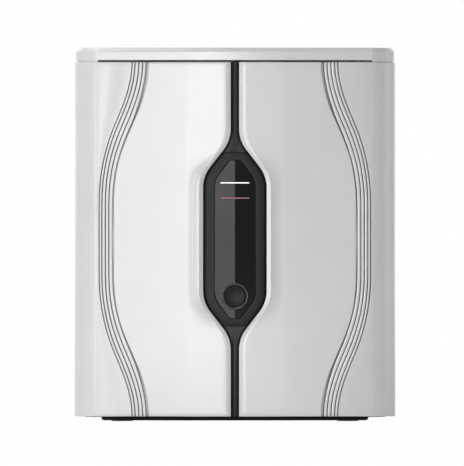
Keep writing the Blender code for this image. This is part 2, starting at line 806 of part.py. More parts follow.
def strip(path, wall):
    """Closes an open path in plan into the outline of a sheet, its wall on the left of the path."""
    inner = []
    for i, (x, y) in enumerate(path):
        before = path[max(0, i - 1)]
        after = path[min(len(path) - 1, i + 1)]
        first = Vector((x - before[0], y - before[1])).normalized() if i else None
        second = Vector((after[0] - x, after[1] - y)).normalized() if i < len(path) - 1 else None
        first = first or second
        second = second or first
        normal = (Vector((-first.y, first.x)) + Vector((-second.y, second.x))).normalized()
        reach = wall / normal.dot(Vector((-first.y, first.x)))
        inner.append((x + normal.x * reach, y + normal.y * reach))
    return list(path) + inner[::-1]


def side_panel(side, name):
    """A bent sheet: a flange behind the door, the side, a rounded rear corner and a return."""
    path = [(HALF_WIDTH - SIDE_FLANGE, SIDE_Y), (HALF_WIDTH, SIDE_Y)]
    for i in range(ARC_STEPS + 1):
        angle = math.pi / 2 * i / ARC_STEPS
        x = HALF_WIDTH - REAR_RADIUS + REAR_RADIUS * math.cos(angle)
        path.append((x, REAR_Y - REAR_RADIUS + REAR_RADIUS * math.sin(angle)))
    path.append((HALF_WIDTH - REAR_RADIUS - REAR_RETURN, REAR_Y))
    shape = prism(strip(path, SIDE_WALL), BODY_BOTTOM, BODY_TOP)
    if side < 0:
        mirror_x(shape)
    add_part(name, shape, WHITE)


def rear_panel():
    """The flat back, with vent slots and openings for the connections."""
    half = HALF_WIDTH - REAR_RADIUS - REAR_RETURN - FIT
    low = (-half, REAR_Y - SIDE_WALL, BODY_BOTTOM)
    obj = add_part("rear_panel", box(low, (half, REAR_Y, BODY_TOP)), WHITE)
    front = REAR_Y - SIDE_WALL - OVERRUN
    back = REAR_Y + OVERRUN
    for x in (FEED_X, DRAIN_X, PRODUCT_X):
        hole = cylinder(
            FITTING_RADIUS + FIT, (x, front, FITTING_Z), (x, back, FITTING_Z), SMALL_SIDES
        )
        cut(obj, hole)
    for z, half_x, half_z in (
        (INLET_Z, INLET_HALF[0] + FIT, INLET_HALF[1] + FIT),
        (
            SWITCH_Z,
            SWITCH_POCKET_HALF[0] + SWITCH_WALL + FIT,
            SWITCH_POCKET_HALF[1] + SWITCH_WALL + FIT,
        ),
    ):
        low = (INLET_X - half_x, front, z - half_z)
        cut(obj, box(low, (INLET_X + half_x, back, z + half_z)))
    for side in (-1, 1):
        for row in range(VENT_ROWS):
            z = VENT_Z + row * VENT_PITCH
            low = (side * VENT_X - VENT_HALF_WIDTH, front, z - VENT_HALF_HEIGHT)
            high = (side * VENT_X + VENT_HALF_WIDTH, back, z + VENT_HALF_HEIGHT)
            cut(obj, box(low, high))


def spine_section(s):
    """Plan section of the spine panel: flanges behind the doors and a ribbed core between them."""
    flange = pod_half_width(s, FLANGE_OUTSET)
    core = pod_half_width(s, -SPINE_GAP)
    flange_y = FACE_Y + EDGE_BACK + FLANGE_GAP
    rise = RIB_RISE if abs(s) > BEZEL_END + RIB_LEAD else 0.0
    right = [
        (RIB_X - RIB_FOOT, CORE_Y),
        (RIB_X, CORE_Y - rise),
        (RIB_X + RIB_FOOT, CORE_Y),
        (core - CORE_ROUND, CORE_Y),
        (core, CORE_Y + CORE_ROUND),
        (core, flange_y),
        (flange, flange_y),
        (flange, CORE_BACK),
    ]
    return right + [(-x, y) for x, y in reversed(right)]


def front_post(radius, x, z, front, back, sides=SMALL_SIDES):
    return cylinder(radius, (x, front, z), (x, back, z), sides)


def spine_panel():
    """The black strip between the doors, from bottom to top, which carries the control pod."""
    sections = [[(x, y, MID_Z + s) for x, y in spine_section(s)] for s in body_rows()]
    obj = add_part("spine_panel", loft(sections), BLACK)
    front = CORE_Y - OVERRUN
    back = CORE_BACK + OVERRUN
    hole = KNOB_RADIUS + RUNNING_GAP
    cut(obj, front_post(hole, 0.0, CONTROL_Z, front, back, ROUND_SIDES))
    for z in (WHITE_LIGHT_Z, RED_LIGHT_Z):
        cut(obj, light_shape(z, FIT, front - OVERRUN, back))


def pod_loop(outset, end, y):
    """The pod's outline as a closed loop at one depth, cut off level at the given height."""
    rows = both_ways([*shoulder_rows(outset), end])
    right = [(pod_half_width(s, outset), y, MID_Z + s) for s in rows]
    return right + [(-x, y, z) for x, y, z in reversed(right)]


def control_bezel():
    """The raised frame round the display window."""
    back = CORE_Y - FIT
    hole = FIT - WINDOW_INSET
    rings = [
        pod_loop(-BEZEL_GAP, BEZEL_END, back),
        pod_loop(-BEZEL_GAP, BEZEL_END, BEZEL_FRONT + BEZEL_ROUND),
        pod_loop(-BEZEL_GAP - BEZEL_ROUND, BEZEL_END - BEZEL_ROUND, BEZEL_FRONT),
        pod_loop(hole, WINDOW_END + FIT, BEZEL_FRONT),
        pod_loop(hole, WINDOW_END + FIT, back),
    ]
    add_part("control_bezel", loft(rings, ring=True), BEZEL_BLACK)


def window_front(x):
    return RIDGE_Y + RIDGE_SLOPE * abs(x)


def display_window():
    """A gloss window of two facets that meet at an upright ridge, pierced for the lights and the control."""
    back = CORE_Y - FIT
    sections = []
    for s in both_ways([*shoulder_rows(-WINDOW_INSET), WINDOW_END]):
        half = pod_half_width(s, -WINDOW_INSET)
        inner = half - WINDOW_EDGE
        right = [
            (inner, window_front(inner)),
            (half, window_front(half) + WINDOW_EDGE),
            (half, back),
        ]
        outline = [(0.0, RIDGE_Y), *right, *[(-x, y) for x, y in reversed(right)]]
        sections.append([(x, y, MID_Z + s) for x, y in outline])
    obj = add_part("display_window", loft(sections), GLOSS)
    front = RIDGE_Y - OVERRUN
    behind = back + OVERRUN
    cut(obj, front_post(RING_RADIUS + FIT, 0.0, CONTROL_Z, front, behind, ROUND_SIDES))
    for z in (WHITE_LIGHT_Z, RED_LIGHT_Z):
        cut(obj, light_shape(z, FIT, front, behind))


def light_shape(z, grow, front, back):
    """A blade with rounded ends. Without a front depth it follows the window's facets."""
    places = [(share, tall) for share, tall in LIGHT_END_SHARES]
    places = [(-share, tall) for share, tall in places] + [(0.0, 1.0)] + places[::-1]
    sections = []
    for share, tall in places:
        x = share * (LIGHT_HALF_LENGTH + grow)
        half = tall * LIGHT_HALF_HEIGHT + grow
        y = window_front(x) + LIGHT_INSET if front is None else front
        outline = ((y, z - half), (y, z + half), (back, z + half), (back, z - half))
        sections.append([(x, *point) for point in outline])
    return loft(sections)


def status_lights():
    back = BOARD_Y - FIT
    add_part("white_status_light", light_shape(WHITE_LIGHT_Z, 0.0, None, back), WHITE_LIGHT)
    add_part("red_status_light", light_shape(RED_LIGHT_Z, 0.0, None, back), RED_LIGHT)


def control_ring():
    """The fixed rim of the control, its face sloping in towards the knob."""
    inner = KNOB_RADIUS + RUNNING_GAP
    back = CORE_Y - FIT
    profile = [
        (inner, back - RIDGE_Y - RING_DIP),
        (RING_RADIUS - WINDOW_EDGE, back - RIDGE_Y),
        (RING_RADIUS, back - RIDGE_Y - WINDOW_EDGE),
        (RING_RADIUS, 0.0),
        (inner, 0.0),
        (inner, back - RIDGE_Y - RING_DIP),
    ]
    turned("control_ring", profile, BEZEL_BLACK, (0.0, back, CONTROL_Z), FRONT, sides=24)


def shaft_end():
    return ENCODER_STEP + FIT


def control_knob():
    """A dished disc on a shaft. It turns about the shaft and presses in."""
    rim = FACE_Y + KNOB_SETBACK
    end = shaft_end() - rim
    r = KNOB_RADIUS
    profile = [
        (0.0, -KNOB_DIP),
        (r * 0.45, -KNOB_DIP * 0.9),
        (r * 0.8, -KNOB_DIP * 0.5),
        (r * 0.93, 0.0),
        (r, -KNOB_DIP * 0.4),
        (r, -KNOB_THICKNESS),
        (SHAFT_RADIUS, -KNOB_THICKNESS),
        (SHAFT_RADIUS, -end),
        (0.0, -end),
    ]
    turned("control_knob", profile, BEZEL_BLACK, (0.0, rim, CONTROL_Z), FRONT, sides=24)


def encoder():
    """The rotary push encoder: a body with a front bush, and the plunger behind the shaft."""
    back = BOARD_Y - FIT
    body = box(
        (-ENCODER_HALF, ENCODER_STEP, CONTROL_Z - ENCODER_HALF),
        (ENCODER_HALF, back, CONTROL_Z + ENCODER_HALF),
    )
    obj = add_part("encoder_body", body, STEEL)
    bush_back = ENCODER_STEP + OVERRUN
    join(obj, front_post(ENCODER_BUSH, 0.0, CONTROL_Z, ENCODER_FRONT, bush_back))
    bore = SHAFT_RADIUS + RUNNING_GAP
    cut(obj, front_post(bore, 0.0, CONTROL_Z, ENCODER_FRONT - OVERRUN, back + OVERRUN))
    start = shaft_end() + FIT
    plunger = front_post(PLUNGER_RADIUS, 0.0, CONTROL_Z, start, start + PLUNGER_LENGTH)
    add_part("encoder_plunger", plunger, STEEL, (0.0, start, CONTROL_Z))


def display_board():
    """The circuit board behind the pod, on four standoffs from the spine panel."""
    lo = (-BOARD_HALF_WIDTH, BOARD_Y, MID_Z - BOARD_HALF_HEIGHT)
    hi = (BOARD_HALF_WIDTH, BOARD_Y + BOARD_THICKNESS, MID_Z + BOARD_HALF_HEIGHT)
    obj = add_part("display_board", box(lo, hi), BOARD_GREEN)
    for side in (-1, 1):
        for way in (-1, 1):
            x = side * (BOARD_HALF_WIDTH / 2 - STANDOFF_INSET)
            z = MID_Z + way * (BOARD_HALF_HEIGHT - STANDOFF_INSET)
            back = BOARD_Y + BOARD_THICKNESS / 2
            join(obj, front_post(STANDOFF_RADIUS, x, z, CORE_BACK + FIT, back))
    bore = SHAFT_RADIUS + RUNNING_GAP
    behind = BOARD_Y + BOARD_THICKNESS + OVERRUN
    cut(obj, front_post(bore, 0.0, CONTROL_Z, BOARD_Y - OVERRUN, behind))


def spine_column():
    """The folded channel between the bays, open towards the bulkhead, with a window behind the pod."""
    rear = BULKHEAD_Y - FIT
    x = COLUMN_HALF_WIDTH
    path = [(-x, rear), (-x, COLUMN_Y), (x, COLUMN_Y), (x, rear)]
    low = FLOOR_TOP + FIT
    high = TOP_FRAME_BOTTOM - FIT
    obj = add_part("spine_column", prism(strip(path, SHEET), low, high), STEEL)
    half_x = COLUMN_WINDOW_HALF_WIDTH
    half_z = COLUMN_WINDOW_HALF_HEIGHT
    front = COLUMN_Y - OVERRUN
    back = COLUMN_Y + SHEET + OVERRUN
    cut(obj, box((-half_x, front, MID_Z - half_z), (half_x, back, MID_Z + half_z)))


def bulkhead():
    """The folded sheet between the front bays and the rear compartment."""
    x = BULKHEAD_HALF_WIDTH
    y = BULKHEAD_Y
    path = [(x, y + BULKHEAD_FLANGE), (x, y), (-x, y), (-x, y + BULKHEAD_FLANGE)]
    outline = strip(path[::-1], SHEET)
    obj = add_part("bulkhead", prism(outline, FLOOR_TOP + FIT, TOP_FRAME_BOTTOM - FIT), STEEL)
    for x in LINE_NOTCHES:
        low = (x - LINE_NOTCH_HALF, y - OVERRUN, LINE_NOTCH_Z)
        high = (x + LINE_NOTCH_HALF, y + SHEET + OVERRUN, TOP_FRAME_BOTTOM + OVERRUN)
        cut(obj, box(low, high))


def cartridge(side, name, finish):
    """A sealed filter canister: a domed foot, a ribbed waist for the hand, a shoulder and a neck."""
    r = CARTRIDGE_RADIUS[name]
    height = CARTRIDGE_SHOULDER - CARTRIDGE_BOTTOM
    profile = [
        (0.0, CARTRIDGE_TOP),
        (NECK_RADIUS - FIT, CARTRIDGE_TOP),
        (NECK_RADIUS, CARTRIDGE_TOP - FIT),
        (NECK_RADIUS, CARTRIDGE_NECK),
        (COLLAR_RADIUS, CARTRIDGE_NECK),
        (COLLAR_RADIUS, (CARTRIDGE_NECK + CARTRIDGE_SHOULDER) / 2),
        (r * 0.9, CARTRIDGE_SHOULDER),
        (r, CARTRIDGE_SHOULDER - r * 0.12),
        (r, CARTRIDGE_BOTTOM + height * 0.22),
        (r * 0.94, CARTRIDGE_BOTTOM + height * 0.20),
        (r * 0.94, CARTRIDGE_BOTTOM + height * 0.10),
        (r, CARTRIDGE_BOTTOM + height * 0.08),
        (r, CARTRIDGE_BOTTOM + r * 0.12),
        (r * 0.88, CARTRIDGE_BOTTOM),
        (0.0, CARTRIDGE_BOTTOM),
    ]
    origin = (side * CARTRIDGE_X, CARTRIDGE_Y, 0.0)
    turned(f"{name}_cartridge", profile, finish, origin, sides=CARTRIDGE_SIDES)


def cartridge_seat(side, name):
    """The shallow cup on the floor that a cartridge stands in."""
    r = (CARTRIDGE_RADIUS[name] + RUNNING_GAP) / math.cos(math.pi / CARTRIDGE_SIDES)
    low = FLOOR_TOP + FIT
    profile = [
        (0.0, low + SEAT_FLOOR),
        (r, low + SEAT_FLOOR),
        (r, low + SEAT_HEIGHT),
        (r + SEAT_WALL, low + SEAT_HEIGHT),
        (r + SEAT_WALL, low),
        (0.0, low),
    ]
    origin = (side * CARTRIDGE_X, CARTRIDGE_Y, 0.0)
    turned(f"{name}_cartridge_seat", profile, GREY, origin, sides=CARTRIDGE_SIDES)


def cartridge_head(side, name):
    """The manifold over a cartridge: a socket for its neck, an arm to the bulkhead and two ports."""
    x = side * CARTRIDGE_X
    y = CARTRIDGE_Y
    shape = cylinder(HEAD_RADIUS, (x, y, HEAD_BOTTOM), (x, y, HEAD_TOP), CARTRIDGE_SIDES)
    obj = add_part(f"{name}_cartridge_head", shape, GREY)
    arm_low = (x - HEAD_ARM_HALF, y, HEAD_BOTTOM + PORT_HEIGHT)
    arm_high = (x + HEAD_ARM_HALF, BULKHEAD_Y - FIT, HEAD_TOP - PORT_HEIGHT)
    join(obj, box(arm_low, arm_high))
    for way in (-1, 1):
        px = x + way * PORT_SPACING / 2
        port_top = (px, y, HEAD_TOP + PORT_HEIGHT)
        join(obj, cylinder(PORT_RADIUS, (px, y, HEAD_TOP - OVERRUN), port_top, SMALL_SIDES))
    top = CARTRIDGE_TOP + RUNNING_GAP
    bore = (NECK_RADIUS + RUNNING_GAP) / math.cos(math.pi / CARTRIDGE_SIDES)
    cut(obj, cylinder(bore, (x, y, HEAD_BOTTOM - OVERRUN), (x, y, top), CARTRIDGE_SIDES))


def canister(name, finish, place, radius, bottom, top):
    """A closed round housing with wider end caps and a port at each end."""
    cap = radius * 0.25
    profile = [
        (0.0, top),
        (PORT_RADIUS, top),
        (PORT_RADIUS, top - PORT_HEIGHT),
        (radius, top - PORT_HEIGHT),
        (radius, top - PORT_HEIGHT - cap * 2),
        (radius - cap / 3, top - PORT_HEIGHT - cap * 2),
        (radius - cap / 3, bottom + PORT_HEIGHT + cap * 2),
        (radius, bottom + PORT_HEIGHT + cap * 2),
        (radius, bottom + PORT_HEIGHT),
        (PORT_RADIUS, bottom + PORT_HEIGHT),
        (PORT_RADIUS, bottom),
        (0.0, bottom),
    ]
    turned(name, profile, finish, (*place, 0.0))


def saddle(name, place, radius):
    """A block on the back of the bulkhead with a round seat for a housing."""
    x, y = place
    front = BULKHEAD_Y + SHEET + FIT
    half = radius * SADDLE_SHARE
    low = SADDLE_Z
    high = SADDLE_Z + SADDLE_HEIGHT
    obj = add_part(name, box((x - half, front, low), (x + half, y, high)), GREY)
    seat = radius - radius * 0.25 / 3 + FIT
    cut(obj, cylinder(seat, (x, y, low - OVERRUN), (x, y, high + OVERRUN), 24))


def wall_box(name, low, size, finish):
    """A box on the back of the bulkhead, from its lower left corner and its size."""
    front = BULKHEAD_Y + SHEET + FIT
    lo = (low[0], front, low[1])
    hi = (low[0] + size[0], front + size[1], low[1] + size[2])
    return add_part(name, box(lo, hi), finish)


def controller_board():
    """The main board on four standoffs from the bulkhead, with its tallest parts."""
    front = BULKHEAD_Y + SHEET + FIT
    x, z = CONTROLLER_LO
    wide, thick, tall = CONTROLLER_SIZE
    y = front + CONTROLLER_STANDOFF
    obj = add_part(
        "controller_board", box((x, y, z), (x + wide, y + thick, z + tall)), BOARD_GREEN
    )
    for px in (x + STANDOFF_INSET, x + wide - STANDOFF_INSET):
        for pz in (z + STANDOFF_INSET, z + tall - STANDOFF_INSET):
            join(obj, front_post(STANDOFF_RADIUS, px, pz, front, y + thick / 2))
    for left, low, right, high in CHIP_SHARES:
        lo = (x + wide * left, y + thick / 2, z + tall * low)
        hi = (x + wide * right, y + thick + CHIP_HEIGHT, z + tall * high)
        join(obj, box(lo, hi))


def power_supply():
    x, y = SUPPLY_LO
    wide, deep, tall = SUPPLY_SIZE
    low = FLOOR_TOP + FIT
    add_part("power_supply", box((x, y, low), (x + wide, y + deep, low + tall)), STEEL)


def pump(name, place, radius, half_length):
    """A round motor with a square pump head on one end and two feet on the floor."""
    x, y = place
    low = FLOOR_TOP + FIT
    z = low + PUMP_FOOT + radius
    obj = add_part(name, cylinder(radius, (x - half_length, y, z), (x + half_length, y, z)), STAINLESS)
    head = radius * PUMP_HEAD_SHARE
    join(
        obj,
        box(
            (x - half_length - radius, y - head, z - head),
            (x - half_length + OVERRUN, y + head, z + head),
        ),
    )
    for way in (-1, 1):
        middle = x + way * half_length / 2
        join(
            obj,
            box(
                (middle - PUMP_FOOT, y - head, low),
                (middle + PUMP_FOOT, y + head, z - radius * 0.6),
            ),
        )
    port_x = x - half_length - radius / 2
    port_top = (port_x, y, z + head + PORT_HEIGHT)
    join(obj, cylinder(PORT_RADIUS, (port_x, y, z + head - OVERRUN), port_top, SMALL_SIDES))


def fitting(name, x):
    """A push-in tube fitting through the rear panel, with its bore and collet."""
    outer = DEPTH / 2 - REAR_Y
    bore_end = outer - FITTING_BORE_DEPTH
    profile = [
        (0.0, bore_end),
        (TUBE_BORE, bore_end),
        (TUBE_BORE, outer),
        (COLLET_RADIUS, outer),
        (COLLET_RADIUS, outer - COLLET_LENGTH),
        (FITTING_RADIUS + FIT, outer - COLLET_LENGTH),
        (FITTING_RADIUS + FIT, FIT + FITTING_FLANGE_THICKNESS),
        (FITTING_FLANGE, FIT + FITTING_FLANGE_THICKNESS),
        (FITTING_FLANGE, FIT),
        (FITTING_RADIUS, FIT),
        (FITTING_RADIUS, -FITTING_INNER),
        (0.0, -FITTING_INNER),
    ]
    turned(name, profile, GREY, (x, REAR_Y, FITTING_Z), REAR, sides=16)


def valve_pieces():
    """The inlet solenoid valve behind the feed fitting, and the pressure regulator above it."""
    y = REAR_Y - FITTING_INNER - FIT
    r = FITTING_FLANGE
    lo = (FEED_X - r, y - 2 * r, FITTING_Z - r)
    hi = (FEED_X + r, y, FITTING_Z + r)
    valve = add_part("inlet_valve", box(lo, hi), BLUE)
    middle = (FEED_X, y - r)
    coil_top = FITTING_Z - r - 2 * r
    join(valve, cylinder(r * 0.9, (*middle, coil_top), (*middle, FITTING_Z - r + OVERRUN)))
    top = FITTING_Z + r
    bell = cylinder(r, (*middle, top + FIT), (*middle, top + 2 * r))
    regulator = add_part("pressure_regulator", bell, BRASS)
    stem_low = (*middle, top + 2 * r - OVERRUN)
    join(regulator, cylinder(r * 0.7, stem_low, (*middle, top + 3 * r), SMALL_SIDES))


def conductivity_cell():
    """A small measuring block on the product fitting's inner end."""
    y = REAR_Y - FITTING_INNER - FIT
    r = FITTING_RADIUS
    lo = (PRODUCT_X - r, y - 3 * r, FITTING_Z - r)
    add_part("conductivity_cell", box(lo, (PRODUCT_X + r, y, FITTING_Z + r)), GREY)


def head_port(side, way):
    """Top of one of a cartridge head's two ports."""
    x = side * CARTRIDGE_X + way * PORT_SPACING / 2
    return Vector((x, CARTRIDGE_Y, HEAD_TOP + PORT_HEIGHT + FIT))


def pump_port(place, radius, half_length):
    """Top of a pump's port."""
    z = FLOOR_TOP + FIT + PUMP_FOOT + radius * (1 + PUMP_HEAD_SHARE) + PORT_HEIGHT + FIT
    return Vector((place[0] - half_length - radius / 2, place[1], z))


def over_bulkhead(port, notch_x):
    """The part of a line that drops onto a cartridge head from the notch behind it."""
    bend = port + Vector((0.0, 0.0, LINE_BEND))
    return [
        Vector((notch_x, BULKHEAD_Y + 2 * LINE_BEND, LINE_Z)),
        Vector((notch_x, BULKHEAD_Y - LINE_BEND, LINE_Z)),
        Vector((port.x, port.y + 2 * LINE_BEND, LINE_Z)),
        bend,
        port,
    ]


def water_lines():
    """The inner tubes, each from one port to the next."""
    middle_y = REAR_Y - FITTING_INNER - FIT - FITTING_FLANGE
    start = Vector((FEED_X, middle_y, FITTING_Z + 4 * FITTING_FLANGE + FIT))
    rise = Vector((0.0, 0.0, 2 * LINE_BEND))
    port = head_port(-1, -1)
    behind = Vector((LINE_NOTCHES[0], MODULE_RADIUS, LINE_Z))
    corner = Vector((LINE_NOTCHES[0], middle_y - 2 * LINE_BEND, LINE_Z - 2 * LINE_BEND))
    route = [start, start + rise, corner, behind, *over_bulkhead(port, LINE_NOTCHES[0])[1:]]
    tube("feed_line", route, LINE_RADIUS, LINE)

    cell = Vector((PRODUCT_X, middle_y, FITTING_Z + FITTING_RADIUS + FIT))
    port = head_port(1, -1)
    route = [cell, cell + rise, *over_bulkhead(port, LINE_NOTCHES[1])]
    tube("product_line", route, LINE_RADIUS, LINE)

    start = Vector((MODULE_X, MODULE_Y, MODULE_TOP + FIT))
    end = Vector((CHAMBER_X, CHAMBER_Y, CHAMBER_TOP + FIT))
    lift = Vector((0.0, 0.0, LINE_BEND))
    tube("permeate_line", [start, start + lift, end + lift, end], LINE_RADIUS, LINE)

    place = (RECIRCULATION_X, RECIRCULATION_Y)
    start = pump_port(place, RECIRCULATION_RADIUS, RECIRCULATION_HALF_LENGTH)
    end = Vector((CHAMBER_X, CHAMBER_Y, CHAMBER_BOTTOM - FIT))
    tube("recirculation_line", [start, start + lift, end - lift, end], LINE_RADIUS, LINE)


def mains_inlet():
    """A mains socket through the rear panel, with three blades at its bottom."""
    half_x, half_z = INLET_HALF
    back = REAR_Y + FIT + INLET_FLANGE_THICKNESS
    front = back - INLET_DEPTH - INLET_WALL
    lo = (INLET_X - half_x, front, INLET_Z - half_z)
    hi = (INLET_X + half_x, REAR_Y + FIT + INLET_FLANGE_THICKNESS / 2, INLET_Z + half_z)
    obj = add_part("mains_inlet", box(lo, hi), BLACK)
    flange_x, flange_z = INLET_FLANGE_HALF
    join(
        obj,
        box(
            (INLET_X - flange_x, REAR_Y + FIT, INLET_Z - flange_z),
            (INLET_X + flange_x, back, INLET_Z + flange_z),
        ),
    )
    cut(
        obj,
        box(
            (INLET_X - half_x + INLET_WALL, front + INLET_WALL, INLET_Z - half_z + INLET_WALL),
            (INLET_X + half_x - INLET_WALL, back + OVERRUN, INLET_Z + half_z - INLET_WALL),
        ),
    )
    for x, z in ((-PIN_SPREAD, -PIN_DROP), (0.0, PIN_DROP), (PIN_SPREAD, -PIN_DROP)):
        lo = (INLET_X + x - PIN_HALF[0], front + INLET_WALL / 2, INLET_Z + z - PIN_HALF[1])
        hi = (
            INLET_X + x + PIN_HALF[0],
            front + INLET_WALL + PIN_REACH,
            INLET_Z + z + PIN_HALF[1],
        )
        join(obj, box(lo, hi))


def power_switch():
    """A rocker in its frame. The rocker tips about a cross axis at its own middle."""
    half_x, half_z = SWITCH_POCKET_HALF
    back = REAR_Y + FIT + SWITCH_RIM
    front = back - SWITCH_DEPTH
    outer_x = half_x + SWITCH_WALL
    outer_z = half_z + SWITCH_WALL
    lo = (INLET_X - outer_x, front, SWITCH_Z - outer_z)
    frame = add_part("switch_frame", box(lo, (INLET_X + outer_x, back, SWITCH_Z + outer_z)), BLACK)
    rim = SWITCH_WALL + SWITCH_RIM
    join(
        frame,
        box(
            (INLET_X - half_x - rim, REAR_Y + FIT, SWITCH_Z - half_z - rim),
            (INLET_X + half_x + rim, back, SWITCH_Z + half_z + rim),
        ),
    )
    cut(
        frame,
        box(
            (INLET_X - half_x, front + SWITCH_WALL, SWITCH_Z - half_z),
            (INLET_X + half_x, back + OVERRUN, SWITCH_Z + half_z),
        ),
    )
    pivot_y = back - SWITCH_RIM
    h = ROCKER_HALF_HEIGHT
    lip = h * math.tan(ROCKER_TILT)
    face = [(h, 2 * lip + SWITCH_RIM), (0.0, lip + SWITCH_RIM), (-h, 2 * lip + SWITCH_RIM)]
    body = [(-h, 0.0), (-h * 0.6, -h * 0.75), (h * 0.6, -h * 0.75), (h, 0.0)]
    sections = []
    for x in (-half_x + RUNNING_GAP, half_x - RUNNING_GAP):
        section = []
        for z, y in face + body:
            turned_y = y * math.cos(ROCKER_TILT) - z * math.sin(ROCKER_TILT)
            turned_z = y * math.sin(ROCKER_TILT) + z * math.cos(ROCKER_TILT)
            section.append((INLET_X + x, pivot_y + turned_y, SWITCH_Z + turned_z))
        sections.append(section)
    add_part("switch_rocker", loft(sections), BLACK, (INLET_X, pivot_y, SWITCH_Z))


def inner_wall_y(x):
    """Depth of the door's inner wall between its thick free edge and the flat panel, clear of the pod."""
    start = SPINE_HALF_WIDTH + REVEAL_WIDTH + EDGE_FLAT
    share = (x - start) / (CROWN_X - start)
    end = face_drop(CROWN_X) + DOOR_WALL
    return FACE_Y + EDGE_BACK + (end - EDGE_BACK) * share


def door_magnet(side, name):
    """A round magnet behind the door's upper part, held against a catch on the column."""
    x = side * (COLUMN_HALF_WIDTH - MAGNET_RADIUS)
    front = inner_wall_y(abs(x) - MAGNET_RADIUS) + FIT
    back = COLUMN_Y - FIT - CATCH_DEPTH
    add_part(name, front_post(MAGNET_RADIUS, x, MAGNET_Z, front, back - FIT), STAINLESS)


def catch_plate(side, name):
    x = side * (COLUMN_HALF_WIDTH - MAGNET_RADIUS)
    back = COLUMN_Y - FIT
    lo = (x - MAGNET_RADIUS, back - CATCH_DEPTH, MAGNET_Z - MAGNET_RADIUS)
    add_part(name, box(lo, (x + MAGNET_RADIUS, back, MAGNET_Z + MAGNET_RADIUS)), STEEL)


def build():
    base_tray()
    rubber_feet()
    bulkhead()
    spine_column()
    top_frame()
    lid()
    rear_panel()
    for side, name in ((-1, "left"), (1, "right")):
        side_panel(side, f"{name}_side_panel")
        door(side, f"{name}_door")
        hinge_bracket(side, f"{name}_lower_hinge", top=False)
        hinge_bracket(side, f"{name}_upper_hinge", top=True)
        door_magnet(side, f"{name}_door_magnet")
        catch_plate(side, f"{name}_catch_plate")
        cartridge(side, name, WHITE if side > 0 else BLUE)
        cartridge_seat(side, name)
        cartridge_head(side, name)
    spine_panel()
    control_bezel()
    display_window()
    status_lights()
    control_ring()
    control_knob()
    encoder()
    display_board()
    place = (MODULE_X, MODULE_Y)
    canister("osmosis_module", WHITE, place, MODULE_RADIUS, MODULE_BOTTOM, MODULE_TOP)
    saddle("osmosis_saddle", place, MODULE_RADIUS)
    place = (CHAMBER_X, CHAMBER_Y)
    canister("ultraviolet_chamber", STAINLESS, place, CHAMBER_RADIUS, CHAMBER_BOTTOM, CHAMBER_TOP)
    saddle("ultraviolet_saddle", place, CHAMBER_RADIUS)
    wall_box("lamp_ballast", BALLAST_LO, BALLAST_SIZE, STEEL)
    controller_board()
    power_supply()
    pump("boost_pump", (BOOST_X, BOOST_Y), BOOST_RADIUS, BOOST_HALF_LENGTH)
    pump(
        "recirculation_pump",
        (RECIRCULATION_X, RECIRCULATION_Y),
        RECIRCULATION_RADIUS,
        RECIRCULATION_HALF_LENGTH,
    )
    for name, x in (("feed", FEED_X), ("drain", DRAIN_X), ("product", PRODUCT_X)):
        fitting(f"{name}_fitting", x)
    valve_pieces()
    conductivity_cell()
    mains_inlet()
    power_switch()
    water_lines()


clear_scene()
PARTS = new_collection(MODEL_NAME)
CUTTERS = new_collection("cutters")
build()
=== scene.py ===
"""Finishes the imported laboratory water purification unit: forms, materials, light and camera."""

import json
import math

import bpy
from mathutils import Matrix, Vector


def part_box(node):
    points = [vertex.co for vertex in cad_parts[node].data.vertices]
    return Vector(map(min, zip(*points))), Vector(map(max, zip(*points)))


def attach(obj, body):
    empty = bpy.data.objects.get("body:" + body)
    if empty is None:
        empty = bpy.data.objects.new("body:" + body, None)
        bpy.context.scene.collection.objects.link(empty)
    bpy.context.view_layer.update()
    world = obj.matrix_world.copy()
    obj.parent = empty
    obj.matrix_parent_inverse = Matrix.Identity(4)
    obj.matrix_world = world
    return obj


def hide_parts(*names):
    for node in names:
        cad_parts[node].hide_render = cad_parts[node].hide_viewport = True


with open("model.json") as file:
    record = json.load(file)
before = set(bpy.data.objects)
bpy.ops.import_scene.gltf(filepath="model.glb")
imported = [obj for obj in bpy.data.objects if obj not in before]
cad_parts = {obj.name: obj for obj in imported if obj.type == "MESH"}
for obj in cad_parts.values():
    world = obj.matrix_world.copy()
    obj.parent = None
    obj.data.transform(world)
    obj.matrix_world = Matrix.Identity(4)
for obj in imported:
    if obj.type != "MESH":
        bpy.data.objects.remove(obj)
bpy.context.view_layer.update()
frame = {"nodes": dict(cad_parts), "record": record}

# Body, as the solids have it
DOOR_LOW, DOOR_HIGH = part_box("right_door")
LID_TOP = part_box("lid")[1].z
REAR_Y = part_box("rear_panel")[1].y
BODY_BOTTOM = DOOR_LOW.z
BODY_TOP = DOOR_HIGH.z
MID_Z = (BODY_BOTTOM + BODY_TOP) / 2
HALF_BODY = (BODY_TOP - BODY_BOTTOM) / 2
HALF_WIDTH = DOOR_HIGH.x

# Front face in plan
COLLAR_RISE = 0.003
CROWN_X = 0.0575
CROWN_DROP = 0.0018
CREST_X = 0.0421
FACE_Y = DOOR_LOW.y + COLLAR_RISE - CROWN_DROP * CREST_X / CROWN_X
CORNER_X = 0.1605
PANEL_DROP = 0.0062
CORNER_DEPTH = 0.034
CORNER_START = math.radians(28)
CORNER_END = math.radians(72)
CORNER_SWEEP = 0.0243
CORNER_TURN = math.radians(66)
CORNER_ROUND = 0.003
SIDE_RETURN = 0.020
DOOR_WALL = 0.0035
BEAD_RADIUS = DOOR_WALL
BEAD_TURN = math.radians(270)
HINGE_X = HALF_WIDTH - BEAD_RADIUS
HINGE_Y = FACE_Y + CROWN_DROP + PANEL_DROP + CORNER_DEPTH + SIDE_RETURN
RIM_ROUND = 0.0008

# Control pod
REVEAL_WIDTH = 0.005
